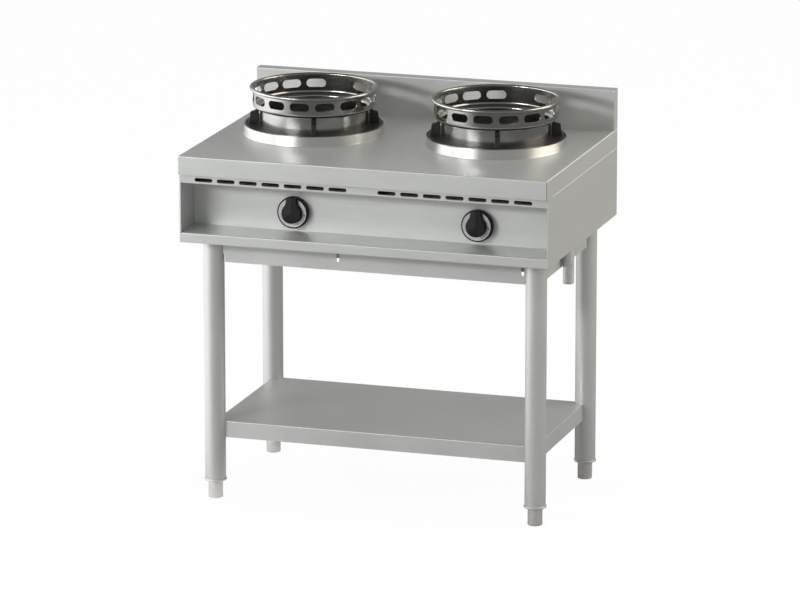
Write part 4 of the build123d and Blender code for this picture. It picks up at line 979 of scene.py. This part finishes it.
@dataclass
class Studio:
    """Plain white room, soft light and the camera.

    The polished steel of the photograph shows a bright wall at the left and one at the right, and a
    darker part of the room behind the camera, so the tone that metal shows changes with the way round.
    A tone of 1 is white.
    """

    azimuth: float = 17.68          # camera, degrees to the right of the front
    elevation: float = 13.98        # camera, degrees above the floor
    distance: float = 13804.8
    lens: float = 261.68
    sensor: float = 36.0            # width of the film that the lens is given for
    sight: float = 200.0            # metres, as far as the camera sees
    target: tuple[float, float, float] = (11.5, -34.9, 474.6)
    aim: float = 0.6                # metres, height that the lamps point at
    floor_size: float = 60000.0
    fibre: float = 50.0             # clouds in the paper
    paper: tuple[float, float] = (0.86, 0.9)
    seen_share: float = 0.96        # of the floor's white that is its own, so that a faint shadow is left
    room: float = 0.76              # light that the room gives to dull surfaces
    window: float = 2.6             # middle of the left wall, in metal
    left: float = 1.5               # left wall beside it, in metal
    front: float = 0.22             # behind the camera, in metal
    dark: float = 0.06              # dark corner right of the camera, in metal
    side: float = 0.2               # between that corner and the right wall, in metal
    right: float = 2.6              # right wall, in metal
    rear: float = 0.3               # rear wall, in metal
    upper: float = 0.42             # walls above head height, in metal
    upper_rise: tuple[float, float] = (0.25, 0.5)       # sine of the height where they take over
    ceiling: float = 0.08           # ceiling, in metal
    ceiling_rise: tuple[float, float] = (0.55, 0.85)    # sine of the height where it takes over
    # near and far: painted shade, which darkens the floor round the object as metal sees it.
    near: tuple[float, float] = (0.6, 0.35)     # metres, and share of the walls' tone on the floor
    far: tuple[float, float] = (1.3, 0.7)       # the same, farther from the object
    key_power: float = 150.0
    left_power: float = 22.0
    right_power: float = 82.0

    def direction(self, azimuth: float, elevation: float) -> Vector:
        """Give the unit vector that points so many degrees right of the front and above the floor."""
        a, e = math.radians(azimuth), math.radians(elevation)
        return Vector((math.sin(a) * math.cos(e), -math.cos(a) * math.cos(e), math.sin(e)))

    def camera(self) -> None:
        """Set up the camera where the photograph was taken from."""
        data = bpy.data.cameras.new("camera")
        data.lens = self.lens
        data.sensor_width = self.sensor
        data.clip_end = self.sight
        camera = bpy.data.objects.new("camera", data)
        bpy.context.scene.collection.objects.link(camera)
        way = self.direction(self.azimuth, self.elevation)
        camera.location = Vector(self.target) * MM + way * self.distance * MM
        camera.rotation_euler = (-way).to_track_quat("-Z", "Y").to_euler()
        bpy.context.scene.camera = camera

    def softboxes(self) -> tuple[Softbox, ...]:
        """List the lamps.

        Returns:
            A flat, wide key lamp, and a large softbox at either side.
        """
        return (
            Softbox("key", -31.0, 5.5, 2.4, (2.4, 0.5), self.key_power, "#FFFFFF"),
            Softbox("left_box", -78.0, 3.6, 1.5, (2.6, 2.6), self.left_power, "#FFFFFF"),
            Softbox("right_box", 108.0, 3.6, 2.2, (3.6, 2.6), self.right_power, "#FFF5E4"),
        )

    def hang(self, box: Softbox) -> None:
        """Set up one lamp.

        Args:
            box: the lamp's place, size and power.
        """
        data = bpy.data.lights.new(box.name, "AREA")
        data.shape = "RECTANGLE"
        data.size, data.size_y = box.size
        data.energy = box.power
        data.color = linear(box.tint)[:3]
        lamp = bpy.data.objects.new(box.name, data)
        bpy.context.scene.collection.objects.link(lamp)
        middle = Vector((self.target[0] * MM, self.target[1] * MM, self.aim))
        lamp.location = middle + self.direction(box.azimuth, 0.0) * box.distance
        lamp.location.z = box.height
        lamp.rotation_euler = (middle - lamp.location).to_track_quat("-Z", "Y").to_euler()

    def tone_round(self, tree: Tree, place: Output) -> Output:
        """Find how bright the room is each way round, as metal shows it.

        Args:
            tree: the tree that gets the nodes.
            place: a direction, or a place on the floor.

        Returns:
            The tone's output.
        """
        # Degrees to the right of the front, and the wall's tone there.
        stops = ((-180, self.rear), (-150, self.rear), (-128, self.left), (-106, self.window),
                 (-56, self.window), (-42, self.left), (-24, self.front), (14, self.front), (24, self.dark),
                 (54, self.dark), (64, self.side), (78, self.side), (88, self.right), (126, self.right),
                 (140, self.rear), (180, self.rear))
        parts = add_node(tree, "SeparateXYZ", {0: place})
        towards = add_node(tree, "Math", {0: parts.outputs[1], 1: -1.0}, operation="MULTIPLY")
        angle = add_node(tree, "Math", {0: parts.outputs[0], 1: towards.outputs[0]}, operation="ARCTAN2")
        share = add_node(tree, "MapRange", {
            "Value": angle.outputs[0], "From Min": -math.pi, "From Max": math.pi})
        tone = add_node(tree, "ValToRGB", {0: share.outputs[0]})
        ramp = tone.color_ramp.elements
        for number, (degrees, value) in enumerate(stops):
            stop = ramp[number] if number < 2 else ramp.new(0.5)
            stop.position = (degrees + 180) / 360
            stop.color = (value, value, value, 1.0)
        return tone.outputs[0]

    def mirrored(self, tree: Tree) -> Output:
        """Find the rays that metal and glass send on, which see the room's own tones.

        Args:
            tree: the tree that gets the nodes.

        Returns:
            An output that is 1 for those rays.
        """
        path = add_node(tree, "LightPath")
        through = add_node(tree, "Math", {
            0: path.outputs["Is Glossy Ray"], 1: path.outputs["Is Transmission Ray"]}, operation="MAXIMUM")
        return through.outputs[0]

    def straight(self, tree: Tree) -> Output:
        """Find the rays that come straight from the camera, as an output that is 1 for them."""
        return add_node(tree, "LightPath").outputs["Is Camera Ray"]

    def world(self) -> None:
        """Light the room: white where it is seen, with its own tones in mirrored rays."""
        world = bpy.data.worlds.new("studio")
        bpy.context.scene.world = world
        world.use_nodes = True
        tree = world.node_tree
        tree.nodes.clear()
        place = add_node(tree, "TexCoord").outputs["Generated"]
        parts = add_node(tree, "SeparateXYZ", {0: place})
        above, over = (add_node(tree, "MapRange", {
            "Value": parts.outputs[2], "From Min": low, "From Max": high}, interpolation_type="SMOOTHSTEP")
            for low, high in (self.upper_rise, self.ceiling_rise))
        walls = add_node(tree, "Mix", {
            0: above.outputs[0], 2: self.tone_round(tree, place), 3: self.upper}, data_type="FLOAT")
        inside = add_node(tree, "Mix", {0: over.outputs[0], 2: walls.outputs[0], 3: self.ceiling},
                          data_type="FLOAT")
        metal = add_node(tree, "Mix", {
            0: self.mirrored(tree), 2: self.room, 3: inside.outputs[0]}, data_type="FLOAT")
        light = add_node(tree, "Mix", {0: self.straight(tree), 2: metal.outputs[0], 3: 1.0},
                         data_type="FLOAT")
        sky = add_node(tree, "Background", {"Color": linear("#FFFFFF"), "Strength": light.outputs[0]})
        add_node(tree, "OutputWorld", {"Surface": sky.outputs[0]})

    def floor(self) -> None:
        """Lay the floor, white where it is seen, with the object's shadow kept on it."""
        mesh = bpy.data.meshes.new("floor")
        half = self.floor_size * MM / 2
        mesh.from_pydata([(-half, -half, 0), (half, -half, 0), (half, half, 0), (-half, half, 0)], [],
                         [(0, 1, 2, 3)])
        floor = bpy.data.objects.new("floor", mesh)
        bpy.context.scene.collection.objects.link(floor)
        material, tree = blank_material("Paper_white_background_roll")
        place = add_node(tree, "TexCoord").outputs["Object"]
        fibre = add_node(tree, "TexNoise", {"Vector": place, "Scale": 1 / (self.fibre * MM), "Detail": 2.0})
        tone = add_node(tree, "MapRange", {
            "Value": fibre.outputs["Fac"], "To Min": self.paper[0], "To Max": self.paper[1]})
        paper = add_node(tree, "BsdfDiffuse", {"Color": tone.outputs[0]})
        straight, mirrored = self.straight(tree), self.mirrored(tree)
        away = add_node(tree, "VectorMath", {0: place}, operation="LENGTH")
        # Painted shade on the floor near the object, seen only in metal.
        shaded = add_node(tree, "MapRange", {
            "Value": away.outputs["Value"], "From Min": self.near[0], "From Max": self.far[0],
            "To Min": self.near[1], "To Max": self.far[1]})
        metal = add_node(tree, "Math", {
            0: self.tone_round(tree, place), 1: shaded.outputs[0]}, operation="MULTIPLY")
        glow = add_node(tree, "Mix", {0: straight, 2: metal.outputs[0], 3: 1.0}, data_type="FLOAT")
        white = add_node(tree, "Emission", {"Color": linear("#FFFFFF"), "Strength": glow.outputs[0]})
        seen = add_node(tree, "Math", {0: straight, 1: mirrored}, operation="MAXIMUM")
        share = add_node(tree, "Math", {0: seen.outputs[0], 1: self.seen_share}, operation="MULTIPLY")
        mix = add_node(tree, "MixShader", {0: share.outputs[0], 1: paper.outputs[0], 2: white.outputs[0]})
        add_node(tree, "OutputMaterial", {"Surface": mix.outputs[0]})
        mesh.materials.append(material)

    def build(self) -> None:
        """Set up camera, lamps, world and floor."""
        self.camera()
        self.world()
        self.floor()
        for box in self.softboxes():
            self.hang(box)
        bpy.context.scene.view_settings.view_transform = "Standard"


def main() -> None:
    """Build every sub-assembly and the studio."""
    workshop = Workshop()
    Casing().build(workshop)
    for side in SIDES:
        BurnerPlace(side).build(workshop)
        Control(side).build(workshop)
    GasTrain().build(workshop)
    Stand().build(workshop)
    Studio().build()


if __name__ == "__main__":
    main()
